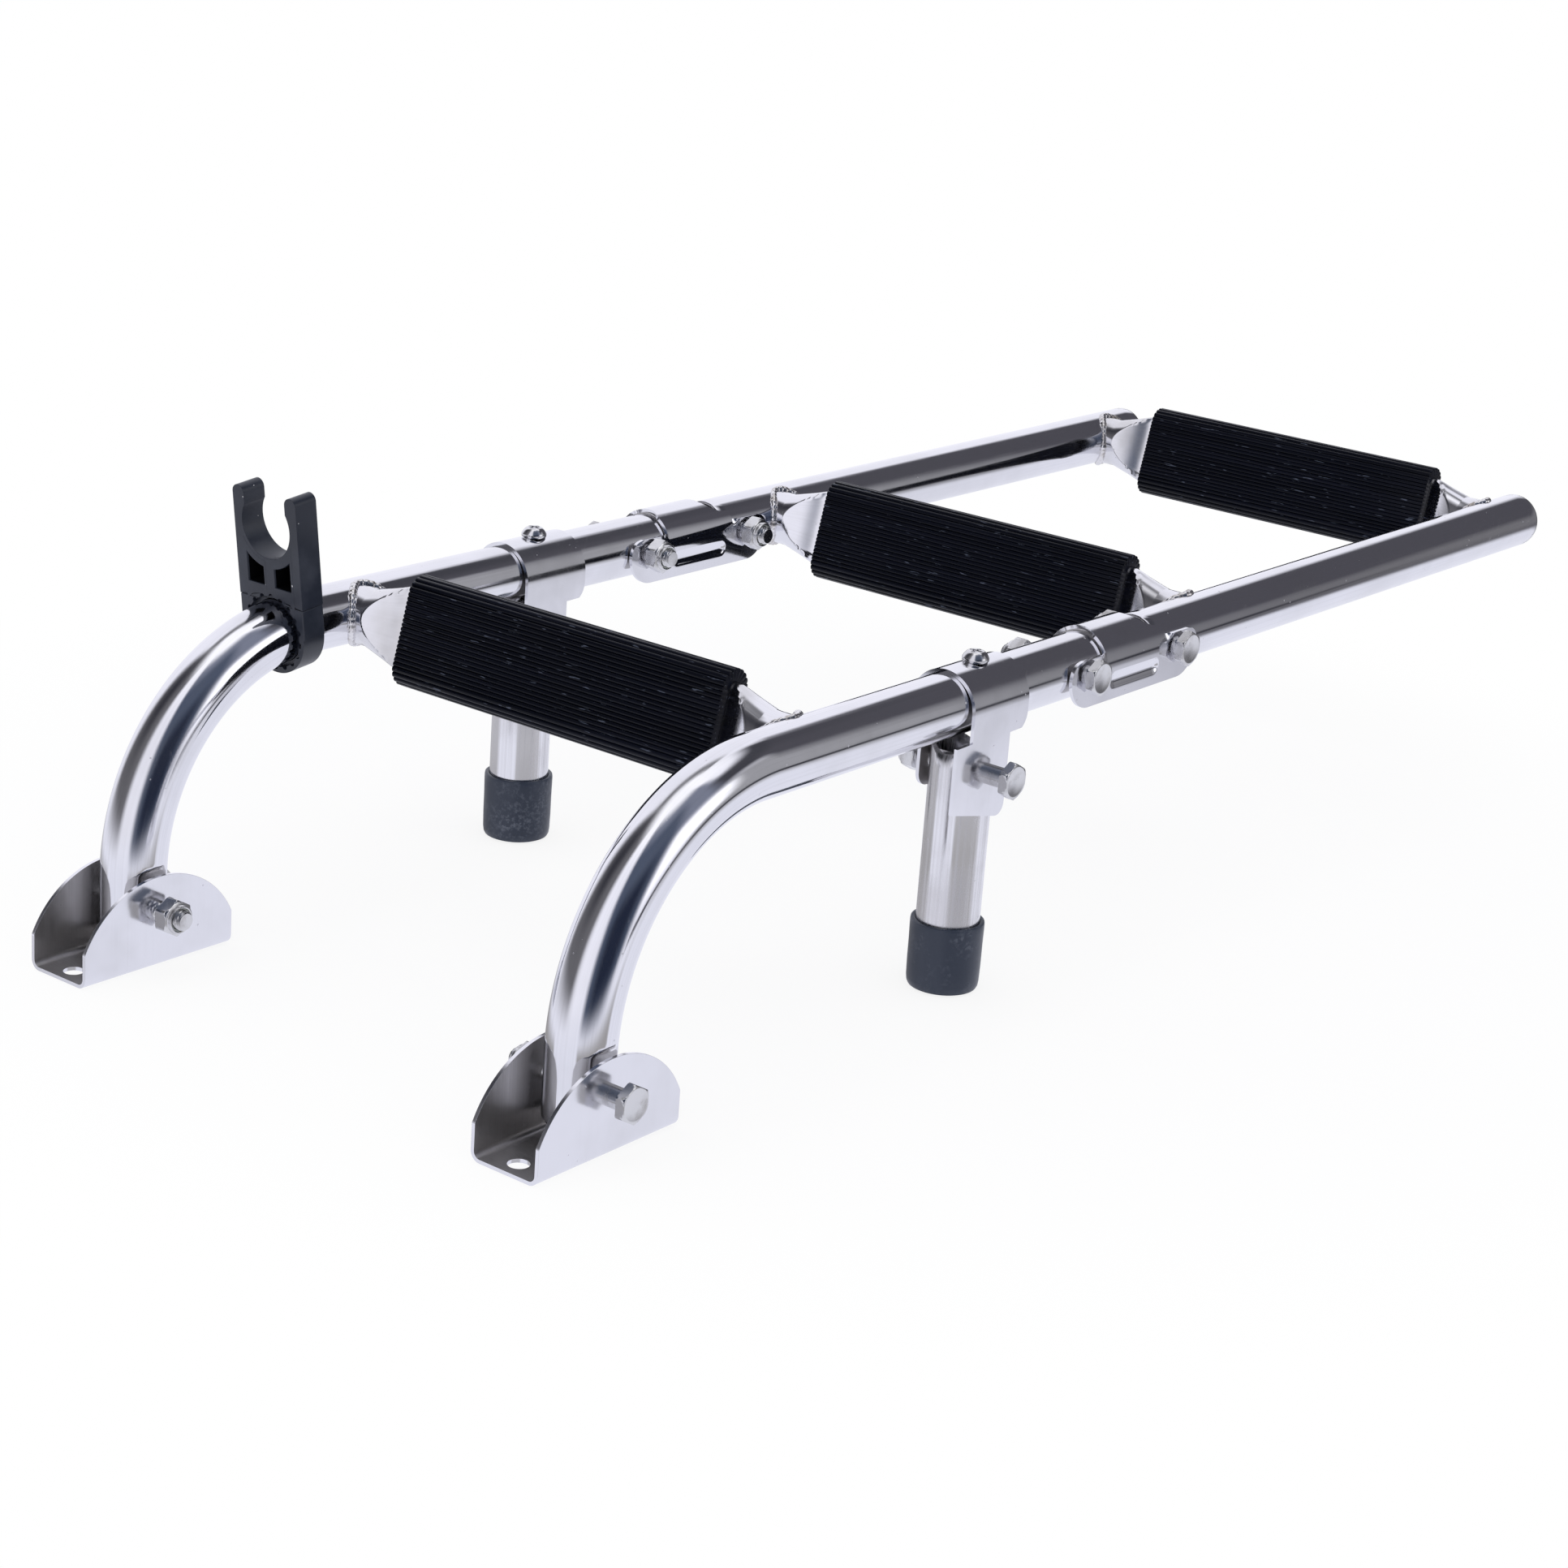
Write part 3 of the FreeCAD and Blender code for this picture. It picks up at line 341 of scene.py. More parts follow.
# specks: dust grains, the small cores of scattered cells that a noise lets through
specks, given = grouped("specks", [("Vector", "Vector", None), ("Density", "Float", 700.0),
                                   ("Share", "Float", 0.3)], [("Mask", "Float")])
cells = node(specks, "ShaderNodeTexVoronoi", {"Vector": given["Vector"],
                                              "Scale": given["Density"]})
picked = node(specks, "ShaderNodeSeparateXYZ", {0: cells.outputs["Color"]}).outputs
core = worked(specks, "LESS_THAN", cells.outputs["Distance"],
              worked(specks, "MULTIPLY", picked["Y"], 0.22))
shown = worked(specks, "LESS_THAN", picked["X"], given["Share"])
node(specks, "NodeGroupOutput", {"Mask": worked(specks, "MULTIPLY", core, shown)})

# hairlines: a few thin scratches, where a drawn out noise crosses its middle
hairlines, given = grouped("hairlines", [("Vector", "Vector", None), ("Slant", "Float", 0.6)],
                           [("Mask", "Float")])
slanted = node(hairlines, "ShaderNodeVectorRotate", {"Vector": given["Vector"],
                                                     "Angle": given["Slant"]},
               rotation_type="Z_AXIS").outputs[0]
slanted = node(hairlines, "ShaderNodeVectorMath", {0: slanted, 1: (14.0, 160.0, 14.0)},
               operation="MULTIPLY").outputs[0]
ridge = node(hairlines, "ShaderNodeTexNoise", {"Vector": slanted, "Scale": 1.0, "Detail": 1.0})
ridge = worked(hairlines, "ABSOLUTE", worked(hairlines, "SUBTRACT", ridge.outputs[0], 0.5))
patchy = node(hairlines, "ShaderNodeTexNoise", {"Vector": given["Vector"], "Scale": 30.0})
scratch = worked(hairlines, "MULTIPLY", stepped(hairlines, ridge, 0.006, 0.001),
                 stepped(hairlines, patchy.outputs[0], 0.55, 0.66))
node(hairlines, "NodeGroupOutput", {"Mask": scratch})


def shaded(name, **constants):
    """A material with one Principled shader whose constant sockets are set."""
    made = bpy.data.materials.new(name)
    made.use_nodes = True
    shader = made.node_tree.nodes["Principled BSDF"]
    for label, value in constants.items():
        shader.inputs[label.replace("_", " ")].default_value = value
    return made, made.node_tree, shader


def steel(name, bright, dull, smooth, rough, lines, wave, streaks, on_uv=True):
    """Stainless steel: bright where clean and dull where smudged, buffed in fine lines.

    Bands of the buffing are duller along the whole metal, by the share of streaks.
    """
    made, tree, shader = shaded(name, Metallic=1.0)
    places = node(tree, "ShaderNodeTexCoord").outputs
    where = places["UV"] if on_uv else places["Object"]
    dirt = placed(tree, smudges, Vector=places["Object"], Size=16.0)
    scratch = placed(tree, hairlines, Vector=where)
    dust = placed(tree, specks, Vector=places["Object"], Density=420.0, Share=0.05)
    band = placed(tree, polish_lines, Vector=where, Across=1100.0, Along=5.0)
    band = stepped(tree, band, 0.40, 0.68)
    tone = blended(tree, dirt, colour(*bright), colour(*dull))
    band = worked(tree, "MULTIPLY", band, streaks)
    tree.links.new(blended(tree, band, tone, colour(*dull)), shader.inputs["Base Color"])
    grit = worked(tree, "MULTIPLY_ADD", dirt, rough - smooth, smooth)
    grit = worked(tree, "MULTIPLY_ADD", band, 1.2 * rough, grit)
    grit = worked(tree, "ADD", grit, worked(tree, "MULTIPLY", scratch, 0.12))
    grit = worked(tree, "ADD", grit, worked(tree, "MULTIPLY", dust, 0.35))
    tree.links.new(grit, shader.inputs["Roughness"])
    fine = placed(tree, polish_lines, Vector=where)
    slow = node(tree, "ShaderNodeTexNoise", {"Vector": places["Object"], "Scale": 22.0,
                                             "Detail": 1.0}).outputs[0]
    bumped = node(tree, "ShaderNodeBump", {"Strength": 1.0, "Distance": wave, "Height": slow})
    bumped = node(tree, "ShaderNodeBump", {"Strength": 1.0, "Distance": lines, "Height": fine,
                                           "Normal": bumped.outputs[0]})
    tree.links.new(bumped.outputs[0], shader.inputs["Normal"])
    return made


tube_steel = steel("polished_tube", (0.82, 0.82, 0.86), (0.74, 0.74, 0.77), 0.05, 0.13,
                   3.6e-6, 1.2e-4, 0.40)

bend_radius = 0.086
bend_low = rail_height - bend_radius
foot_end = 0.0105
upper_end = 0.294
press_limit = tube_radius - 0.002
press_top = 0.040
for side, y, hand in SIDES:
    up = np.linspace(foot_end, bend_low, 24)
    turned = np.linspace(0, np.pi / 2, 112)[1:]
    level = np.linspace(bend_radius, upper_end, 44)[1:]
    angle = np.concatenate([np.zeros(len(up)), turned, np.full(len(level), np.pi / 2)])
    path = np.zeros((len(angle), 3))
    path[:, 0] = bend_radius * (1 - np.cos(angle))
    path[:, 1] = y
    path[:, 2] = bend_low + bend_radius * np.sin(angle)
    path[:len(up), 2] = up
    path[-len(level):, 0] = level
    out = np.stack([-np.cos(angle), 0 * angle, np.sin(angle)], 1)
    aside = np.tile((0.0, -1.0, 0.0), (len(angle), 1))
    ease = np.clip((path[:, 2] - press_top + 0.0035) / 0.0035, 0, 1)
    limit = press_limit + (tube_radius + 0.0001 - press_limit) * ease * ease * (3 - 2 * ease)
    shell = tube_shell(path, out, aside, tube_radius, tube_wall, limit)
    finished(skinned(side + "_upper_tube", (shell, True, True)), tube_steel,
             "upper_section", "polished_steel", side + "_upper_rail")

lower_start = 0.3325
rail_end = 0.682
for side, y, hand in SIDES:
    reach = np.linspace(lower_start, rail_end, 60)
    path = np.stack([reach, np.full(60, y), np.full(60, rail_height)], 1)
    out = np.tile((0.0, 0.0, 1.0), (60, 1))
    aside = np.tile((0.0, -1.0, 0.0), (60, 1))
    shell = tube_shell(path, out, aside, tube_radius, tube_wall)
    finished(skinned(side + "_lower_tube", (shell, True, True)), tube_steel,
             "lower_section", "polished_steel", side + "_lower_rail")


# THE TUBE PLUGS
# Moulded black plastic plugs pushed into the sawn tube ends: thin flanges show
# under the bent rails and at the lower ends.

def turned_rows(profile, centre, axis, columns=64, round_of=None):
    """A profile of radius and height carried once round an axis.

    Each row is a circle of the profile's radius, at its height along the axis.
    round_of, where given, changes the radius by the turn.
    """
    axis = np.array(axis, float)
    first = np.cross(axis, (0.0, 0.0, 1.0) if abs(axis[2]) < 0.9 else (1.0, 0.0, 0.0))
    first /= np.linalg.norm(first)
    second = np.cross(axis, first)
    turns = np.linspace(0, 2 * np.pi, columns, endpoint=False)
    radius = np.tile(np.array([p[0] for p in profile], float)[:, None], (1, columns))
    if round_of is not None:
        radius = round_of(radius, turns[None])
    heights = np.array([p[1] for p in profile], float)
    return (np.array(centre, float) + heights[:, None, None] * axis
            + (radius * np.cos(turns))[..., None] * first
            + (radius * np.sin(turns))[..., None] * second)


def moulded(name, base, pale, gloss, rough, grain, dust_share, coat=0.0):
    """Moulded plastic or rubber: a fine grain, cloudy gloss and a few dust grains."""
    made, tree, shader = shaded(name, Metallic=0.0, Coat_Weight=coat, Coat_Roughness=0.12)
    places = node(tree, "ShaderNodeTexCoord").outputs
    cloud = placed(tree, smudges, Vector=places["Object"], Size=30.0)
    dust = placed(tree, specks, Vector=places["Object"], Density=520.0, Share=dust_share)
    tone = blended(tree, cloud, colour(*base), colour(*pale))
    tone = blended(tree, dust, tone, colour(0.42, 0.42, 0.44))
    tree.links.new(tone, shader.inputs["Base Color"])
    tree.links.new(stepped(tree, cloud, 0.0, 1.0, gloss, rough), shader.inputs["Roughness"])
    skin = node(tree, "ShaderNodeTexNoise", {"Vector": places["Object"], "Scale": 2600.0,
                                             "Detail": 2.0}).outputs[0]
    bumped = node(tree, "ShaderNodeBump", {"Strength": 1.0, "Distance": grain, "Height": skin})
    tree.links.new(bumped.outputs[0], shader.inputs["Normal"])
    return made


plug_plastic = moulded("plug_plastic", (0.010, 0.011, 0.015), (0.022, 0.024, 0.030),
                       0.30, 0.46, 8e-6, 0.10)
for side, y, hand in SIDES:
    flange = [(0, 0.0001), (0.0095, 0), (0.0108, 0.0002), (0.0114, 0.0008), (0.0114, 0.0024),
              (0.0045, 0.0024), (0.0045, 0.0052), (0, 0.0054)]
    rows = turned_rows(flange, (0, y, foot_end - 0.0024), (0, 0, 1))
    finished(skinned(side + "_foot_plug", (rows, False, True)), plug_plastic,
             "upper_section", "moulded_plastic", side + "_rail_foot_plug")
    cap = [(0, 0.0016), (0.0080, 0.0016), (0.0112, 0.0014), (0.0124, 0.0008), (0.0126, 0.0002),
           (0.0126, 0), (0.0114, 0), (0.0114, -0.0075), (0.0106, -0.0080), (0, -0.0080)]
    rows = turned_rows(cap, (rail_end, y, rail_height), (1, 0, 0))
    finished(skinned(side + "_cap_plug", (rows, False, True)), plug_plastic,
             "lower_section", "moulded_plastic", side + "_end_plug")


# THE STEP BARS
# Tube between the rails, crushed flat by a die over the length that the tread
# covers. From the weld it flares out in straight lines, and the die leaves a
# V shaped facet on each side. Each end is coped to the rail and welded by hand.

STEPS = ((1, 0.112, "upper_section"), (2, 0.380, "lower_section"), (3, 0.657, "lower_section"))
rail_gap = 0.230
tread_tilt = math.radians(15)
flat_half = 0.0175
flat_thick = 0.003
bar_radius = 0.012


def tilted(points, x):
    """Points made square to the rails, leant back about the step's middle line."""
    lean = points.copy()
    lean[..., 0] = x + points[..., 0] * math.cos(tread_tilt) + points[..., 2] * math.sin(tread_tilt)
    lean[..., 2] = (rail_height - points[..., 0] * math.sin(tread_tilt)
                    + points[..., 2] * math.cos(tread_tilt))
    return lean


def oval(half_width, half_thick, columns):
    """Two straight sides joined by half circles, evenly spaced along its edge."""
    straight = 2 * (half_width - half_thick)
    arc = np.pi * half_thick
    way = np.linspace(0, 2 * (straight + arc), columns, endpoint=False)
    half = way // (straight + arc)
    way = way - half * (straight + arc)
    sign = 1 - 2 * half
    turn = np.clip((way - straight) / half_thick, 0, np.pi)
    x = half_thick * np.cos(turn)
    z = np.minimum(way, straight) - straight / 2 + half_thick * np.sin(turn)
    return sign * x, sign * z


def bar_section(flare, crush, columns):
    """The tube's outline, widened by the flare and cut down by the crush, both 0 to 1.

    The flare turns the circle into an ellipse, the crush holds it between two
    closing flats, and near the end of the crush it settles into the flat oval.
    """
    flat_x, flat_z = oval(flat_half, flat_thick, columns)
    turn = np.arctan2(flat_z / flat_half, flat_x / flat_thick)
    held_z = (bar_radius + (flat_half - bar_radius) * flare) * np.sin(turn)
    die = bar_radius + (flat_thick - bar_radius) * crush
    held_x = np.clip(bar_radius * np.cos(turn), -die, die)
    settle = crush ** 5
    return held_x + (flat_x - held_x) * settle, held_z + (flat_z - held_z) * settle


bar_steel = steel("buffed_bar", (0.80, 0.80, 0.84), (0.62, 0.61, 0.61), 0.08, 0.22,
                  3.0e-6, 2.5e-4, 0.12)
weld_steel, tree, shader = shaded("hand_weld", Metallic=1.0)
places = node(tree, "ShaderNodeTexCoord").outputs
heat = placed(tree, smudges, Vector=places["Object"], Size=160.0)
tree.links.new(blended(tree, heat, colour(0.78, 0.77, 0.78), colour(0.42, 0.38, 0.34)),
               shader.inputs["Base Color"])
tree.links.new(stepped(tree, heat, 0, 1, 0.16, 0.42), shader.inputs["Roughness"])
pitted = node(tree, "ShaderNodeTexNoise", {"Vector": places["Object"], "Scale": 900.0,
                                           "Detail": 3.0}).outputs[0]
pitted = node(tree, "ShaderNodeBump", {"Strength": 1.0, "Distance": 1.2e-4, "Height": pitted})
tree.links.new(pitted.outputs[0], shader.inputs["Normal"])

flare_start = 0.0145
crush_start = 0.0172
flat_start = 0.0346
for number, x, body in STEPS:
    columns = 96
    halves = []
    for inset in (0.0, 0.0012):
        ends = np.concatenate([np.linspace(0, flare_start, 5)[:-1],
                               np.linspace(flare_start, flat_start, 44)])
        reach = np.concatenate([ends, [rail_gap / 2], rail_gap - ends[::-1]])
        depth = np.minimum(reach, rail_gap - reach)
        flare = np.clip((depth - flare_start) / (flat_start - flare_start), 0, 1)
        crush = np.clip((depth - crush_start) / (flat_start - crush_start), 0, 1) ** 1.05
        rings = []
        for place_y, wider, flatter in zip(reach, flare, crush):
            across, tall = bar_section(wider, flatter, columns)
            size = np.stack([across, tall], 1)
            size *= 1 - inset / np.maximum(np.hypot(across, tall), 0.004)[:, None]
            rings.append(np.stack([size[:, 0], np.full(columns, place_y), size[:, 1]], 1))
        rings = tilted(np.stack(rings), x)
        cope = np.sqrt(np.maximum((tube_radius - 0.0005) ** 2 - (rings[..., 2] - rail_height) ** 2, 0))
        near = reach[:, None] < rail_gap / 2
        rings[..., 1] = np.where(near, np.maximum(rings[..., 1], cope),
                                 np.minimum(rings[..., 1], rail_gap - cope))
        halves.append(rings)
    shell = np.concatenate([halves[0], halves[1][::-1]])
    finished(skinned("step_%d_tube" % number, (shell, True, True)), bar_steel,
             body, "polished_steel", "step_%d_bar" % number)
    rng = np.random.default_rng(40 + number)
    for side, y, hand in SIDES:
        turns = np.linspace(0, 2 * np.pi, 180, endpoint=False)
        around = np.linspace(0, 2 * np.pi, 14, endpoint=False)
        tall = (bar_radius + 0.0002) * np.sin(turns)
        wide = (bar_radius + 0.0002) * np.cos(turns)
        ring = tilted(np.stack([wide, 0 * wide, tall], 1), x)
        lift = np.sqrt(np.maximum(tube_radius ** 2 - (ring[:, 2] - rail_height) ** 2, 0))
        ring[:, 1] = y - hand * lift
        phase = rng.uniform(0, 2 * np.pi, 6)
        waves = sum(np.sin(k * turns + p) / (1 + 0.3 * k) for k, p in zip((2, 3, 5, 7, 11, 13), phase))
        bead = 0.0013 + 0.00030 * waves + 0.00030 * np.abs(np.sin(19 * turns + phase[0]))
        bead = np.maximum(bead, 0.00035)
        run = np.roll(ring, -1, 0) - np.roll(ring, 1, 0)
        run /= np.linalg.norm(run, axis=1)[:, None]
        out = ring - np.array((x, y - hand * 0.011, rail_height))
        out -= (out * run).sum(1)[:, None] * run
        out /= np.linalg.norm(out, axis=1)[:, None]
        over = np.cross(run, out)
        rows = (ring[:, None] + bead[:, None, None]
                * (np.cos(around)[None, :, None] * out[:, None]
                   + np.sin(around)[None, :, None] * over[:, None]))
        finished(skinned("%s_weld_%d" % (side, number), (rows, True, True)), weld_steel,
                 body, "polished_steel")


# THE TREADS
# Black plastic sleeves, extruded with fine ribs on both faces and coarser ones
# round the edges, sawn to length and slid over the crushed bars before welding.

tread_half = 0.080
tread_radius = 0.0075
tread_flat = 0.030
rib_pitch = 0.00175
tread_black, tree, shader = shaded("tread_black", Metallic=0.0, Specular_IOR_Level=0.14)
places = node(tree, "ShaderNodeTexCoord").outputs
drawn = node(tree, "ShaderNodeMapping", {"Vector": places["Object"], "Scale": (260.0, 7.0, 260.0)})
streak = node(tree, "ShaderNodeTexNoise", {"Vector": drawn.outputs[0], "Scale": 1.0,
                                           "Detail": 3.0}).outputs[0]
cloud = placed(tree, smudges, Vector=places["Object"], Size=22.0)
# painted glints: sparse short dashes along the ribs get a paler base colour, which stands in for glints of
# light on the ribs
painted_glints = node(tree, "ShaderNodeMapping", {"Vector": places["Object"], "Scale": (1000.0, 120.0, 1000.0)})
painted_glints = node(tree, "ShaderNodeTexNoise", {"Vector": painted_glints.outputs[0], "Scale": 1.0,
                                           "Detail": 2.0}).outputs[0]
tone = blended(tree, stepped(tree, streak, 0.35, 0.75), colour(0.0012, 0.0018, 0.0052),
               colour(0.0032, 0.0042, 0.0105))
tone = blended(tree, stepped(tree, painted_glints, 0.67, 0.72), tone, colour(0.060, 0.070, 0.100))
tree.links.new(tone, shader.inputs["Base Color"])
gloss = worked(tree, "MULTIPLY_ADD", streak, 0.20, worked(tree, "MULTIPLY_ADD", cloud, 0.10, 0.16))
tree.links.new(gloss, shader.inputs["Roughness"])
bumped = node(tree, "ShaderNodeBump", {"Strength": 1.0, "Distance": 5e-5, "Height": streak})
tree.links.new(bumped.outputs[0], shader.inputs["Normal"])
for number, x, body in STEPS:
    # half the outline: a ribbed face, then a ribbed half round edge
    fine = int(tread_flat / rib_pitch)
    shape = np.array([(0, 1), (0.07, 0.55), (0.2, 0.18), (0.35, 0.03), (0.5, 0), (0.65, 0.03),
                      (0.8, 0.18), (0.93, 0.55)])
    along = ((np.arange(fine)[:, None] + shape[:, 0]) / fine).ravel() * tread_flat - tread_flat / 2
    drop = np.tile(shape[:, 1], fine) * 0.00075
    face = np.stack([tread_radius - drop, along], 1)
    edge_ribs = 9
    turn = ((np.arange(edge_ribs)[:, None] + shape[:, 0]) / edge_ribs).ravel() * np.pi
    reach = tread_radius - np.tile(shape[:, 1], edge_ribs) * 0.0009
    edge = np.stack([reach * np.cos(turn), tread_flat / 2 + reach * np.sin(turn)], 1)
    outline = np.concatenate([face, edge])
    outline = np.concatenate([outline, -outline])
    # the bore follows the bar, one point for each point of the outline
    room = 0.0001
    straight = (flat_half - flat_thick)
    bore_z = np.clip(outline[:, 1] * straight / (tread_flat / 2), -straight, straight)
    lead = outline - np.stack([0 * bore_z, np.sign(outline[:, 1]) * tread_flat / 2], 1)
    past = np.abs(outline[:, 1]) > tread_flat / 2
    lead = np.where(past[:, None], lead / np.linalg.norm(lead, axis=1)[:, None],
                    np.stack([np.sign(outline[:, 0]), 0 * bore_z], 1))
    bore = np.stack([0 * bore_z, bore_z], 1) + lead * (flat_thick + room)
    rounding = 0.0002
    steps = [(0.0, rounding), (0.3, 0.3 * rounding), (1.0, 0.0)]
    rows = []
    middle = rail_gap / 2
    shrink = outline * (1 - rounding / np.linalg.norm(outline, axis=1)[:, None])
    for share, back in steps[::-1]:
        ring = outline + (shrink - outline) * share
        rows.append((ring, middle - tread_half + back))
    rows += [(outline, middle - 0.04), (outline, middle), (outline, middle + 0.04)]
    for share, back in steps:
        ring = outline + (shrink - outline) * share
        rows.append((ring, middle + tread_half - back))
    rows += [(bore, middle + tread_half), (bore, middle), (bore, middle - tread_half)]
    shell = np.stack([np.stack([ring[:, 0], np.full(len(ring), place_y), ring[:, 1]], 1)
                      for ring, place_y in rows])
    made = skinned("step_%d_sleeve" % number, (tilted(shell, x), True, True))
    finished(made, tread_black, body, "tread_plastic", "step_%d_tread" % number)


# THE DECK BRACKETS
# Stainless sheet folded to a channel, its cheeks cut to a low arch. It is
# polished outside and keeps the mill's satin inside, with a screw hole near
# each end of the base.

sheet_wall = 0.0015


def folded(made, width=0.00022):
    """Sheet thickness goes inward from the outer face, then every cut edge is eased.

    The inner faces take the sheet's second material.
    """
    wall = made.modifiers.new("wall", "SOLIDIFY")
    wall.thickness = sheet_wall
    wall.material_offset = 1
    wall.offset = -1.0
    ease = made.modifiers.new("eased_edges", "BEVEL")
    ease.width = width
    ease.segments = 2
    ease.limit_method = "ANGLE"
    ease.angle_limit = math.radians(50)
    ease.harden_normals = True
    return made


def turned_out(made, away_from, ledge=None):
    """An open sheet's faces are turned away from a point inside its fold.

    Faces that lie level at the height of a ledge, where two rows of the grid
    meet, are no part of the sheet and are left out first.
    """
    shape = bmesh.new()
    shape.from_mesh(made.data)
    level = [face for face in shape.faces if ledge is not None
             and max(abs(spot.co.z - ledge) for spot in face.verts) < 2e-6]
    bmesh.ops.delete(shape, geom=level, context="FACES")
    shape.to_mesh(made.data)
    shape.free()
    mesh = made.data
    place_of = np.array([p.center for p in mesh.polygons])
    facing = np.array([p.normal for p in mesh.polygons])
    if ((place_of - np.array(away_from)) * facing).sum() < 0:
        mesh.flip_normals()
    return made


sheet_steel = steel("polished_sheet", (0.82, 0.82, 0.86), (0.72, 0.72, 0.75), 0.07, 0.17,
                    1.2e-6, 6.0e-5, 0.10)
brushed_steel = steel("brushed_bracket", (0.82, 0.82, 0.86), (0.76, 0.76, 0.79), 0.15, 0.24,
                      0.8e-6, 5.0e-5, 0.08)
satin_steel = steel("satin_inside", (0.62, 0.61, 0.61), (0.46, 0.44, 0.43), 0.34, 0.48,
                    1.5e-6, 1.2e-4, 0.15)
bracket_half = 0.0365
bracket_side = tube_radius + 0.0012 + sheet_wall
corner = 0.004
for side, y, hand in SIDES:
    lengths = np.unique(np.concatenate([np.linspace(-bracket_half, bracket_half, 61),
                                        np.linspace(-0.038, -0.020, 25)[2:],
                                        np.linspace(0.020, 0.038, 25)[:-2]]).round(6))
    lengths = lengths[np.abs(lengths) <= bracket_half]
    arch_radius = 0.040463
    top = 0.037 - arch_radius + np.sqrt(arch_radius ** 2 - lengths ** 2)
    up = np.linspace(1, 0, 14)
    bend = np.linspace(0, np.pi / 2, 9)[1:]
    base = np.linspace(-1, 1, 25)[1:-1] * (bracket_side - corner)
    grid = []
    for share in up:
        grid.append((np.full(len(lengths), -bracket_side), corner + share * (top - corner)))
    for turn in bend:
        grid.append((np.full(len(lengths), -bracket_side + corner - corner * np.cos(turn)),
                     np.full(len(lengths), corner - corner * np.sin(turn))))
    for across in base:
        grid.append((np.full(len(lengths), across), np.zeros(len(lengths))))
    for across, tall in grid[:len(up) + len(bend)][::-1]:
        grid.append((-across, tall))
    across = np.stack([g[0] for g in grid])
    tall = np.stack([g[1] for g in grid])
    reach = np.tile(lengths, (len(grid), 1))
    # round the two screw holes the squares of the grid are drawn onto circles
    hole = 0.004
    patch = 0.0070
    inside = np.zeros_like(reach, bool)
    for middle in (-0.029, 0.029):
        away_x, away_y = reach - middle, across.copy()
        square = np.maximum(np.abs(away_x), np.abs(away_y))
        near = (square < patch) & (tall < 1e-6)
        share = np.clip((square - hole) / (patch - hole), 0, 1)
        distance = np.maximum(np.hypot(away_x, away_y), 1e-9)
        inside |= near & (square < hole - 2e-4)
        reach = np.where(near, middle + share * away_x + (1 - share) * hole * away_x / distance, reach)
        across = np.where(near, share * away_y + (1 - share) * hole * away_y / distance, across)
    points = np.stack([reach, y + across, tall], 2)
    made = skinned(side + "_bracket_sheet", (points, False, False))
    mesh = bmesh.new()
    mesh.from_mesh(made.data)
    gone = []
    for face in mesh.faces:
        spot = face.calc_center_median()
        if spot.z < 1e-5 and min(math.hypot(spot.x - m, spot.y - y) for m in (-0.029, 0.029)) < hole + 1e-5:
            gone.append(face)
    bmesh.ops.delete(mesh, geom=gone, context="FACES")
    mesh.to_mesh(made.data)
    mesh.free()
    turned_out(made, (0, y, 0.02))
    folded(made)
    finished(made, brushed_steel, "deck_mounts", "polished_steel", side + "_bracket")
    made.data.materials.append(satin_steel)


# THE TEE FITTINGS
# Stainless sheet wrapped over each rail, with a wide cheek on one side and a
# narrow tongue on the other hanging down to the leg bolt. A pan head screw
# through the crown fixes it to the rail.

def strip(path, low, high, rows):
    """A sheet cut to shape and folded along a path across the rails.

    At each point of the path, y and z are the path's own and x runs in equal
    shares from the sheet's back edge to its front edge there.
    """
    share = np.linspace(0, 1, rows)
    reach = low[:, None] + share * (high - low)[:, None]
    return np.stack([reach, np.tile(path[:, :1], (1, rows)), np.tile(path[:, 1:], (1, rows))], 2)


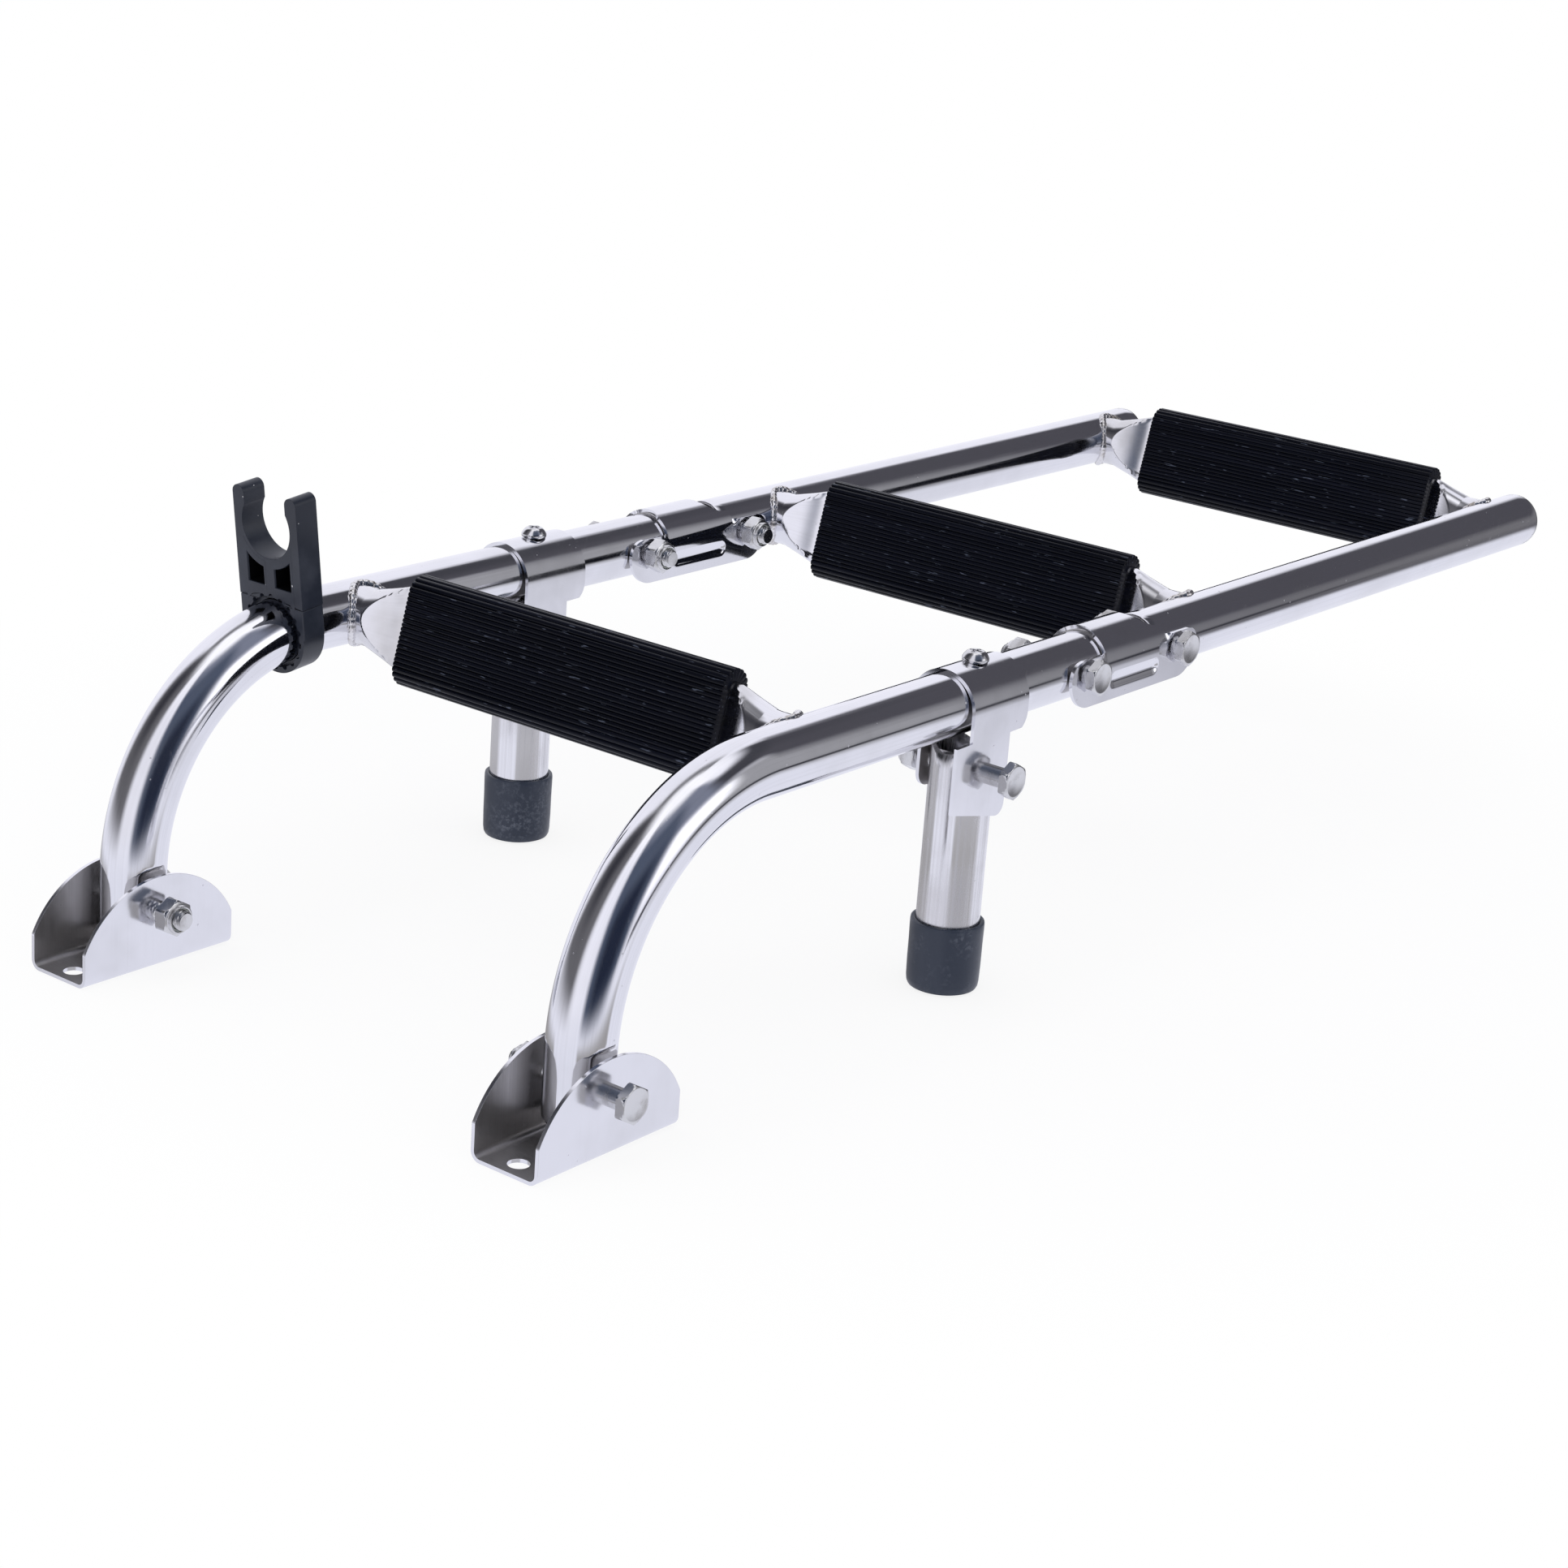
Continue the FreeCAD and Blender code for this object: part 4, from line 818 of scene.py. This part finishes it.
tee_x = 0.2165
tee_side = tube_radius + 0.001 + sheet_wall
tee_axis = rail_height - 0.001
for side, y, hand in SIDES:
    # wide cheek on the right, up from its slanting lower edge
    corner_r = 0.006
    heel, toe = tee_x - 0.0265, tee_x + 0.0085
    drop = np.concatenate([corner_r * (1 - np.cos(np.linspace(0, np.pi / 2, 12))),
                           np.linspace(corner_r, 0.0329, 12)[1:]])
    cheek_front = toe - corner_r + np.sqrt(np.maximum(
        corner_r ** 2 - (corner_r - np.minimum(drop, corner_r)) ** 2, 0))
    cheek_z = 0.074 + drop
    wide = [(-tee_side, z, heel, front) for z, front in zip(cheek_z, cheek_front)]
    skirt_z = np.linspace(0.1071, 0.1135, 14)
    skirt = tee_x + 0.0195 - 0.008 + np.sqrt(0.008 ** 2 - (0.1135 - skirt_z) ** 2)
    sleeve_back = tee_x - 0.0165
    sleeve_front = tee_x + 0.0195
    wide += [(-tee_side, z, sleeve_back, front) for z, front in zip(skirt_z, skirt)]
    wide += [(-tee_side, 0.116, sleeve_back, sleeve_front)]
    turns = np.linspace(np.pi, 0, 61)
    crown = [(tee_side * math.cos(t), tee_axis + tee_side * math.sin(t), sleeve_back, sleeve_front)
             for t in turns]
    tongue_z = 0.0805 + np.concatenate([corner_r * (1 - np.cos(np.linspace(0, np.pi / 2, 12))),
                                        np.linspace(corner_r, 0.0249, 10)[1:]])
    round_in = corner_r - np.sqrt(np.maximum(
        corner_r ** 2 - (corner_r - np.minimum(tongue_z - 0.0805, corner_r)) ** 2, 0))
    narrow = [(tee_side, 0.116, sleeve_back, sleeve_front)]
    lower_z = np.linspace(0.1055, 0.1135, 14)[::-1]
    lower = tee_x + 0.0195 - 0.008 + np.sqrt(np.maximum(0.008 ** 2 - (0.1135 - lower_z) ** 2, 0))
    narrow += [(tee_side, z, sleeve_back, front) for z, front in zip(lower_z, lower)]
    narrow += [(tee_side, z, tee_x - 0.009 + r, toe - r)
               for z, r in zip(tongue_z[::-1], round_in[::-1])]
    outline = np.array(wide + crown + narrow)
    points = strip(outline[:, :2], outline[:, 2], outline[:, 3], 49)
    slope = 0.0805 - (points[..., 0] - heel) * math.tan(math.radians(12.6))
    lift = np.clip((0.100 - points[..., 2]) / (0.100 - 0.074), 0, 1)
    on_wide = (points[..., 1] < 0) & (points[..., 2] < 0.100)
    points[..., 2] = np.where(on_wide, points[..., 2] + lift * (slope - 0.074), points[..., 2])
    points[..., 1] += y
    made = skinned(side + "_tee_sheet", (points, False, False))
    turned_out(made, (tee_x, y, 0.105))
    finished(folded(made), sheet_steel, "upper_section", "polished_steel", side + "_tee")
    made.data.materials.append(satin_steel)

screw_steel = steel("screw_steel", (0.72, 0.72, 0.74), (0.55, 0.54, 0.54), 0.12, 0.26,
                    4e-6, 1e-5, 0.0, on_uv=False)
screw_x = 0.219
crown_z = rail_height + tube_radius + sheet_wall
for side, y, hand in SIDES:
    radii = np.concatenate([np.linspace(0, 0.0030, 13), np.linspace(0.0030, 0.0052, 10)[1:]])
    dome = 0.0040 - 0.0024 * np.clip((radii - 0.0026) / 0.0026, 0, 1) ** 2
    profile = list(zip(radii, dome)) + [(0.00532, 0.0013), (0.0053, 0.0004), (0.0051, 0), (0.002, 0),
                                        (0.002, -0.004), (0, -0.004)]
    rows = turned_rows(profile, (screw_x, y, crown_z), (0, 0, 1), columns=96)
    arm = rows - np.array((screw_x, y, 0))
    narrowest = np.minimum(np.abs(arm[..., 0]), np.abs(arm[..., 1]))
    longest = np.maximum(np.abs(arm[..., 0]), np.abs(arm[..., 1]))
    slot = np.clip((0.00075 - narrowest) / 0.00025, 0, 1) * np.clip((0.0027 - longest) / 0.0004, 0, 1)
    top = (rows[..., 2] > crown_z + 0.0012)
    rows[..., 2] -= np.where(top, slot * 0.0016, 0)
    finished(skinned(side + "_pan_screw", (rows, False, True)), screw_steel,
             "upper_section", "fastener_steel", side + "_tee_screw")


# THE STANDOFF LEGS
# Short stainless tubes on the leg bolts, rounded over the bolt so that they
# clear the rail as they fold, with moulded rubber tips pushed over the ends.

leg_bolt_z = 0.091
leg_over = 0.0136
leg_foot = 0.0035
leg_steel = steel("leg_tube", (0.84, 0.84, 0.87), (0.72, 0.71, 0.73), 0.10, 0.26,
                  5.0e-6, 2.0e-4, 0.45)
tip_rubber, tree, shader = shaded("tip_rubber", Specular_IOR_Level=0.45)
places = node(tree, "ShaderNodeTexCoord").outputs
chalk = placed(tree, smudges, Vector=places["Object"], Size=48.0)
fleck = node(tree, "ShaderNodeTexNoise", {"Vector": places["Object"], "Scale": 520.0,
                                          "Detail": 5.0, "Roughness": 0.7}).outputs[0]
chalk = worked(tree, "MULTIPLY", chalk, stepped(tree, fleck, 0.46, 0.64))
tree.links.new(blended(tree, chalk, colour(0.024, 0.033, 0.056), colour(0.110, 0.124, 0.160)),
               shader.inputs["Base Color"])
tree.links.new(stepped(tree, chalk, 0, 1, 0.34, 0.62), shader.inputs["Roughness"])
skin = node(tree, "ShaderNodeBump", {"Strength": 1.0, "Distance": 2.0e-5, "Height": fleck})
tree.links.new(skin.outputs[0], shader.inputs["Normal"])
for side, y, hand in SIDES:
    turns = np.linspace(0, 2 * np.pi, 96, endpoint=False)
    wall_rows = []
    for radius, shares in ((tube_radius, np.linspace(0, 1, 26)),
                           (tube_radius - tube_wall, np.linspace(1, 0, 26))):
        top = leg_bolt_z + np.sqrt(leg_over ** 2 - (radius * np.cos(turns)) ** 2)
        for share in shares:
            wall_rows.append(np.stack([tee_x + radius * np.cos(turns), y + radius * np.sin(turns),
                                       leg_foot + share * (top - leg_foot)], 1))
    finished(skinned(side + "_leg_tube", (np.stack(wall_rows), True, True)), leg_steel,
             side + "_standoff", "polished_steel", side + "_leg")
    profile = [(0, 0.0012), (0.0080, 0.0012), (0.0087, 0.0010), (0.0090, 0.0003), (0.0096, 0),
               (0.0128, 0), (0.0137, 0.0004), (0.0142, 0.0014), (0.01445, 0.0034),
               (0.0146, 0.0100), (0.0146, 0.0180), (0.0147, 0.0245), (0.0147, 0.0268),
               (0.01455, 0.0277), (0.0141, 0.0280), (0.01325, 0.0280), (0.0129, 0.0278),
               (0.01275, 0.0270), (0.01275, 0.0036), (0, 0.0036)]
    rows = turned_rows(profile, (tee_x, y, 0), (0, 0, 1), columns=96)
    finished(skinned(side + "_tip", (rows, False, True)), tip_rubber,
             side + "_standoff", "tip_rubber", side + "_leg_tip")


# THE HINGE CHANNELS
# Stainless sheet folded to an arch over both rails, with low rounded ears at
# the two bolts, round bays at the ends of the closed roof, and a stiffening
# groove pressed into each cheek.

hinge_one = 0.280
hinge_two = 0.3465
ear = 0.0132
ear_rise = 0.0068
channel_side = tube_radius + 0.0005 + sheet_wall
for side, y, hand in SIDES:
    below = -ear * np.cos(np.linspace(0, np.pi / 2, 30))
    above = np.linspace(0, ear_rise, 14)[1:]
    arch = np.linspace(math.asin(ear_rise / channel_side), np.pi / 2, 31)
    flank = [(channel_side, tall) for tall in below]
    flank += [(math.sqrt(channel_side ** 2 - tall ** 2), tall) for tall in above]
    on_ear = len(flank)
    flank += [(channel_side * math.cos(t), channel_side * math.sin(t)) for t in arch]
    aside, tall = np.array(flank).T
    on_ear = np.arange(len(flank)) < on_ear
    disc = np.sqrt(np.maximum(ear ** 2 - np.minimum(tall, 0) ** 2, 0))
    shoulder = ear - ear_rise + np.sqrt(np.maximum(ear_rise ** 2 - np.clip(tall, 0, ear_rise) ** 2, 0))
    span = np.where(tall <= 0, disc, shoulder)
    bay_one = hinge_one + np.maximum(0.012, np.sqrt(np.maximum(0.014 ** 2 - aside ** 2, 0)))
    bay_two = np.where(aside < 0.0105,
                       hinge_two - 0.0125 - np.sqrt(np.maximum(0.0105 ** 2 - aside ** 2, 0)),
                       hinge_two - 0.010)
    bay_one = np.where(on_ear, hinge_one + 0.012, bay_one)
    low = np.where(on_ear, hinge_one - span, bay_one)
    high = np.where(on_ear, hinge_two + span, bay_two)
    # the two ears and the part between the bays keep their own columns
    flank = np.stack([-aside, rail_height + tall], 1)
    parts = [strip(flank, first, last, count)[:, skip:]
             for first, last, count, skip in ((low, bay_one, 25, 0), (bay_one, bay_two, 81, 1),
                                              (bay_two, high, 25, 1))]
    points = np.concatenate(parts, 1)
    points = np.concatenate([points, points[-2::-1] * (1, -1, 1)])
    # flat ears round the bolts, curving in toward the arch of the roof
    rise = points[..., 2] - rail_height
    flat_end = np.minimum(points[..., 0] - hinge_one, hinge_two - points[..., 0]) - 0.0065
    flat = 1 - np.clip(flat_end / np.where(points[..., 0] < 0.313, 0.0055, 0.0035), 0, 1)
    flat = flat * flat * (3 - 2 * flat) * (rise > 0) * (rise < ear_rise + 5e-5)
    points[..., 1] += flat * (np.sign(points[..., 1]) * channel_side - points[..., 1])
    # the groove: a capsule pressed in, deepest on its middle line
    groove_half = 0.0031
    middle_x = np.clip(points[..., 0], hinge_one + 0.0155 + groove_half,
                       hinge_two - 0.0155 - groove_half)
    off = np.hypot(points[..., 0] - middle_x, points[..., 2] - (rail_height - 0.0055)) / groove_half
    dent = 0.0009 * np.clip(1 - off ** 2, 0, 1) * (points[..., 2] < rail_height)
    points[..., 1] -= np.sign(points[..., 1]) * dent
    points[..., 1] += y
    made = skinned(side + "_channel_sheet", (points, False, False))
    turned_out(made, (0.312, y, 0.112), rail_height + ear_rise)
    link = side + "_link"
    finished(folded(made), sheet_steel, link, "polished_steel", side + "_hinge_channel")
    made.data.materials.append(satin_steel)


# THE STORAGE CLIP
# Moulded charcoal plastic in two halves: a hook that holds the folded lower
# rail, and a saddle that closes round the start of the left bend.

clip_plastic = moulded("clip_plastic", (0.014, 0.018, 0.030), (0.034, 0.040, 0.058),
                       0.34, 0.50, 1.2e-5, 0.03)


def merged_copy(name, source, width, angle=28):
    """A merged copy of a solid's own mesh, its top corners rounded and all edges eased."""
    shape = bmesh.new()
    shape.from_mesh(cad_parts[source].data)
    bmesh.ops.remove_doubles(shape, verts=shape.verts, dist=2e-6)
    bmesh.ops.dissolve_limit(shape, angle_limit=math.radians(0.8), verts=shape.verts,
                             edges=shape.edges)
    crest = max(spot.co.z for spot in shape.verts)
    corners = [edge for edge in shape.edges
               if max(spot.co.z for spot in edge.verts) > crest - 0.0018
               and abs(edge.verts[0].co.y - edge.verts[1].co.y) < 1e-6
               and len(edge.link_faces) == 2 and edge.calc_face_angle() > 1.2
               and edge.calc_length() > 0.008]
    bmesh.ops.bevel(shape, geom=corners, offset=0.0020, segments=6, profile=0.5,
                    affect="EDGES", clamp_overlap=True)
    mesh = bpy.data.meshes.new(name)
    shape.to_mesh(mesh)
    shape.free()
    mesh.shade_smooth()
    mesh.set_sharp_from_angle(angle=math.radians(angle))
    made = bpy.data.objects.new(name, mesh)
    scene.collection.objects.link(made)
    ease = made.modifiers.new("eased_edges", "BEVEL")
    ease.width = width
    ease.segments = 2
    ease.limit_method = "ANGLE"
    ease.angle_limit = math.radians(35)
    ease.harden_normals = True
    return made


for name, source in (("clip_hook", "storage_clip"), ("clip_lower", "clip_saddle")):
    finished(merged_copy(name, source, 0.00060), clip_plastic, "upper_section",
             "moulded_plastic", source)
# a face over each moulded pocket with a small window, and the recess in it, which is coloured near black as
# painted shade for the inside of the pocket;
# each row is the distance across, the gap under the hook, and the depth
# painted shade: the recess's near black colour stands in for the shadow deep inside the pocket
recess_painted_shade = moulded("recess_painted_shade", (0.0012, 0.0014, 0.0022), (0.0020, 0.0022, 0.0032),
                       0.70, 0.85, 1.2e-5, 0.0)
recess_painted_shade.node_tree.nodes["Principled BSDF"].inputs["Specular IOR Level"].default_value = 0.08
along = np.array((math.cos(math.radians(7)), 0, math.sin(math.radians(7))))
upright = np.array((-along[2], 0, along[0]))
seat = np.array((bend_radius, 0.230, bend_low)) + bend_radius * upright
share = np.linspace(0, 1, 17)[:-1]
across_share = np.concatenate([share, 0 * share + 1, 1 - share, 0 * share])
up_share = np.concatenate([0 * share, share, 0 * share + 1, 1 - share])
for way, name in ((-1, "right"), (1, "left")):
    rows = []
    for inner, outer, hook_gap, window, depth in (
            (0.0018, 0.0134, 0.0015, False, 0.0003), (0.0019, 0.0133, 0.0016, False, -0.00004),
            (0.0028, 0.0121, 0.0040, True, -0.00004), (0.0030, 0.0119, 0.0042, True, 0.0003),
            (0.0031, 0.0118, 0.0043, True, 0.0007), (0.0031, 0.0118, 0.0043, True, 0.0086),
            (0.0072, 0.0076, 0.0090, True, 0.0087)):
        across = inner + (outer - inner) * across_share
        bottom = 0.0188 + 0 * across if window else np.sqrt(0.0172 ** 2 - across ** 2)
        top = 0.0435 - np.sqrt((0.0132 + hook_gap) ** 2 - across ** 2)
        rise = bottom + (top - bottom) * up_share
        rows.append(seat + (way * across)[:, None] * (0, 1, 0) + rise[:, None] * upright
                    + (depth - 0.0055) * along)
    for label, part, skin in (("face", rows[:5], clip_plastic), ("recess", rows[4:], recess_painted_shade)):
        made = skinned("clip_window_%s_%s" % (label, name), (np.stack(part), False, True))
        finished(turned_out(made, seat + 0.024 * upright + 0.02 * along), skin,
                 "upper_section", "moulded_plastic")


# THE BOLTS AND LOCK NUTS
# Eight millimetre stainless hexagon bolts, turned head outward, with nylon
# collared lock nuts inside. They stand off the cheeks, as the ladder was
# photographed before it was tightened.

bolt_steel, tree, shader = shaded("bolt_steel", Metallic=1.0)
places = node(tree, "ShaderNodeTexCoord").outputs
dirt = placed(tree, smudges, Vector=places["Object"], Size=90.0)
tree.links.new(blended(tree, dirt, colour(0.70, 0.70, 0.71), colour(0.55, 0.54, 0.54)),
               shader.inputs["Base Color"])
tree.links.new(stepped(tree, dirt, 0, 1, 0.20, 0.34), shader.inputs["Roughness"])
cast = node(tree, "ShaderNodeTexNoise", {"Vector": places["Object"], "Scale": 1500.0,
                                         "Detail": 3.0}).outputs[0]
cast = node(tree, "ShaderNodeBump", {"Strength": 1.0, "Distance": 7e-6, "Height": cast})
tree.links.new(cast.outputs[0], shader.inputs["Normal"])
nylon, tree, shader = shaded("lock_nylon", Roughness=0.42, Subsurface_Weight=0.15)
places = node(tree, "ShaderNodeTexCoord").outputs
cloud = placed(tree, smudges, Vector=places["Object"], Size=300.0)
tree.links.new(blended(tree, cloud, colour(0.66, 0.67, 0.62), colour(0.52, 0.53, 0.50)),
               shader.inputs["Base Color"])

half_flats = 0.0065
head_thick = 0.0042
nut_thick = 0.0064
collar_thick = 0.0018
bolt_past = 0.0025


def hexed(radius, turns):
    """Each radius is cut back to a hexagon with two level flats."""
    folded_turn = (turns + np.pi / 6) % (np.pi / 3) - np.pi / 6
    return np.minimum(radius, half_flats / np.cos(folded_turn))


BOLTS = [("pivot", "", 0.0, 0.0228, 0.0012, 0.0064, 0.0040, "deck_mounts"),
         ("leg", "", tee_x, leg_bolt_z, 0.0010, 0.0062, 0.0035, "upper_section"),
         ("hinge", "_1", hinge_one, rail_height, 0.0005, 0.0016, 0.0014, "link"),
         ("hinge", "_2", hinge_two, rail_height, 0.0005, 0.0016, 0.0014, "link")]
for side, y, hand in SIDES:
    for kind, number, x, z, gap, head_off, nut_off, body in BOLTS:
        body = side + "_link" if body == "link" else body
        cheek = tube_radius + gap + sheet_wall
        outside = (0.0, hand, 0.0)
        start = (x, y + hand * (cheek + head_off), z)
        crest = 0.0075
        head = [(0, 0), (0.0058, 0), (0.0062, 0.0002), (crest - 0.0002, 0.0004), (crest, 0.0006),
                (crest, 0.0014), (crest, 0.0022), (crest, 0.0036), (0.0071, 0.00388),
                (0.0067, 0.00408), (0.0063, head_thick), (0.0060, head_thick), (0.0057, head_thick),
                (0.0054, head_thick - 0.0001), (0, head_thick - 0.0001)]
        rows = turned_rows(head, start, outside, columns=96, round_of=hexed)
        length = 2 * cheek + head_off + nut_off + nut_thick + collar_thick + bolt_past
        run = np.linspace(0, length, int(length / 0.00022))
        threaded = np.clip((run - (length - 0.022)) / 0.0015, 0, 1)
        end = np.clip((length - run) / 0.0008, 0, 1)
        turns = np.linspace(0, 2 * np.pi, 40, endpoint=False)
        wave = np.abs(((run[:, None] / 0.00125 + turns / (2 * np.pi)) % 1) - 0.5) * 2
        radius = 0.004 - 0.00062 * threaded[:, None] * wave - 0.0007 * (1 - end[:, None])
        shank = turned_rows([(1, h) for h in -run], start, outside, columns=40,
                            round_of=lambda r, t: radius)
        tip = turned_rows([(0.0032, -length), (0, -length - 0.00005)], start, outside, columns=40)
        finished(skinned("%s_%s_hex_bolt%s" % (side, kind, number), (rows, False, True),
                         (np.concatenate([shank, tip]), False, True)),
                 bolt_steel, body, "fastener_steel", "%s_%s_bolt%s" % (side, kind, number))
        inside = (0.0, -hand, 0.0)
        seat = (x, y - hand * (cheek + nut_off), z)
        rim = nut_thick + collar_thick
        nut = [(0.0041, 0), (0.0058, 0), (0.0063, 0.0002), (crest - 0.0003, 0.0006),
               (crest, 0.0009), (crest, 0.0055), (0.0072, 0.0058), (0.0067, 0.0061),
               (0.0062, 0.0063), (0.0057, 0.0064), (0.0056, 0.0066), (0.0056, rim - 0.0007),
               (0.00545, rim - 0.0002), (0.0051, rim), (0.0047, rim - 0.0001),
               (0.0046, rim - 0.0005), (0.0046, nut_thick), (0.0041, nut_thick)]
        rows = turned_rows(nut, seat, inside, columns=96, round_of=hexed)
        finished(skinned("%s_%s_lock_nut%s" % (side, kind, number), (rows, True, True)),
                 bolt_steel, body, "fastener_steel", "%s_%s_nut%s" % (side, kind, number))
        ring = [(0.0040, nut_thick), (0.00462, nut_thick), (0.00462, rim - 0.0007),
                (0.0044, rim - 0.0005), (0.0042, rim - 0.0006), (0.0040, rim - 0.0010)]
        rows = turned_rows(ring, seat, inside, columns=48)
        finished(skinned("%s_%s_nylon%s" % (side, kind, number), (rows, True, True)),
                 nylon, body, "fastener_steel")
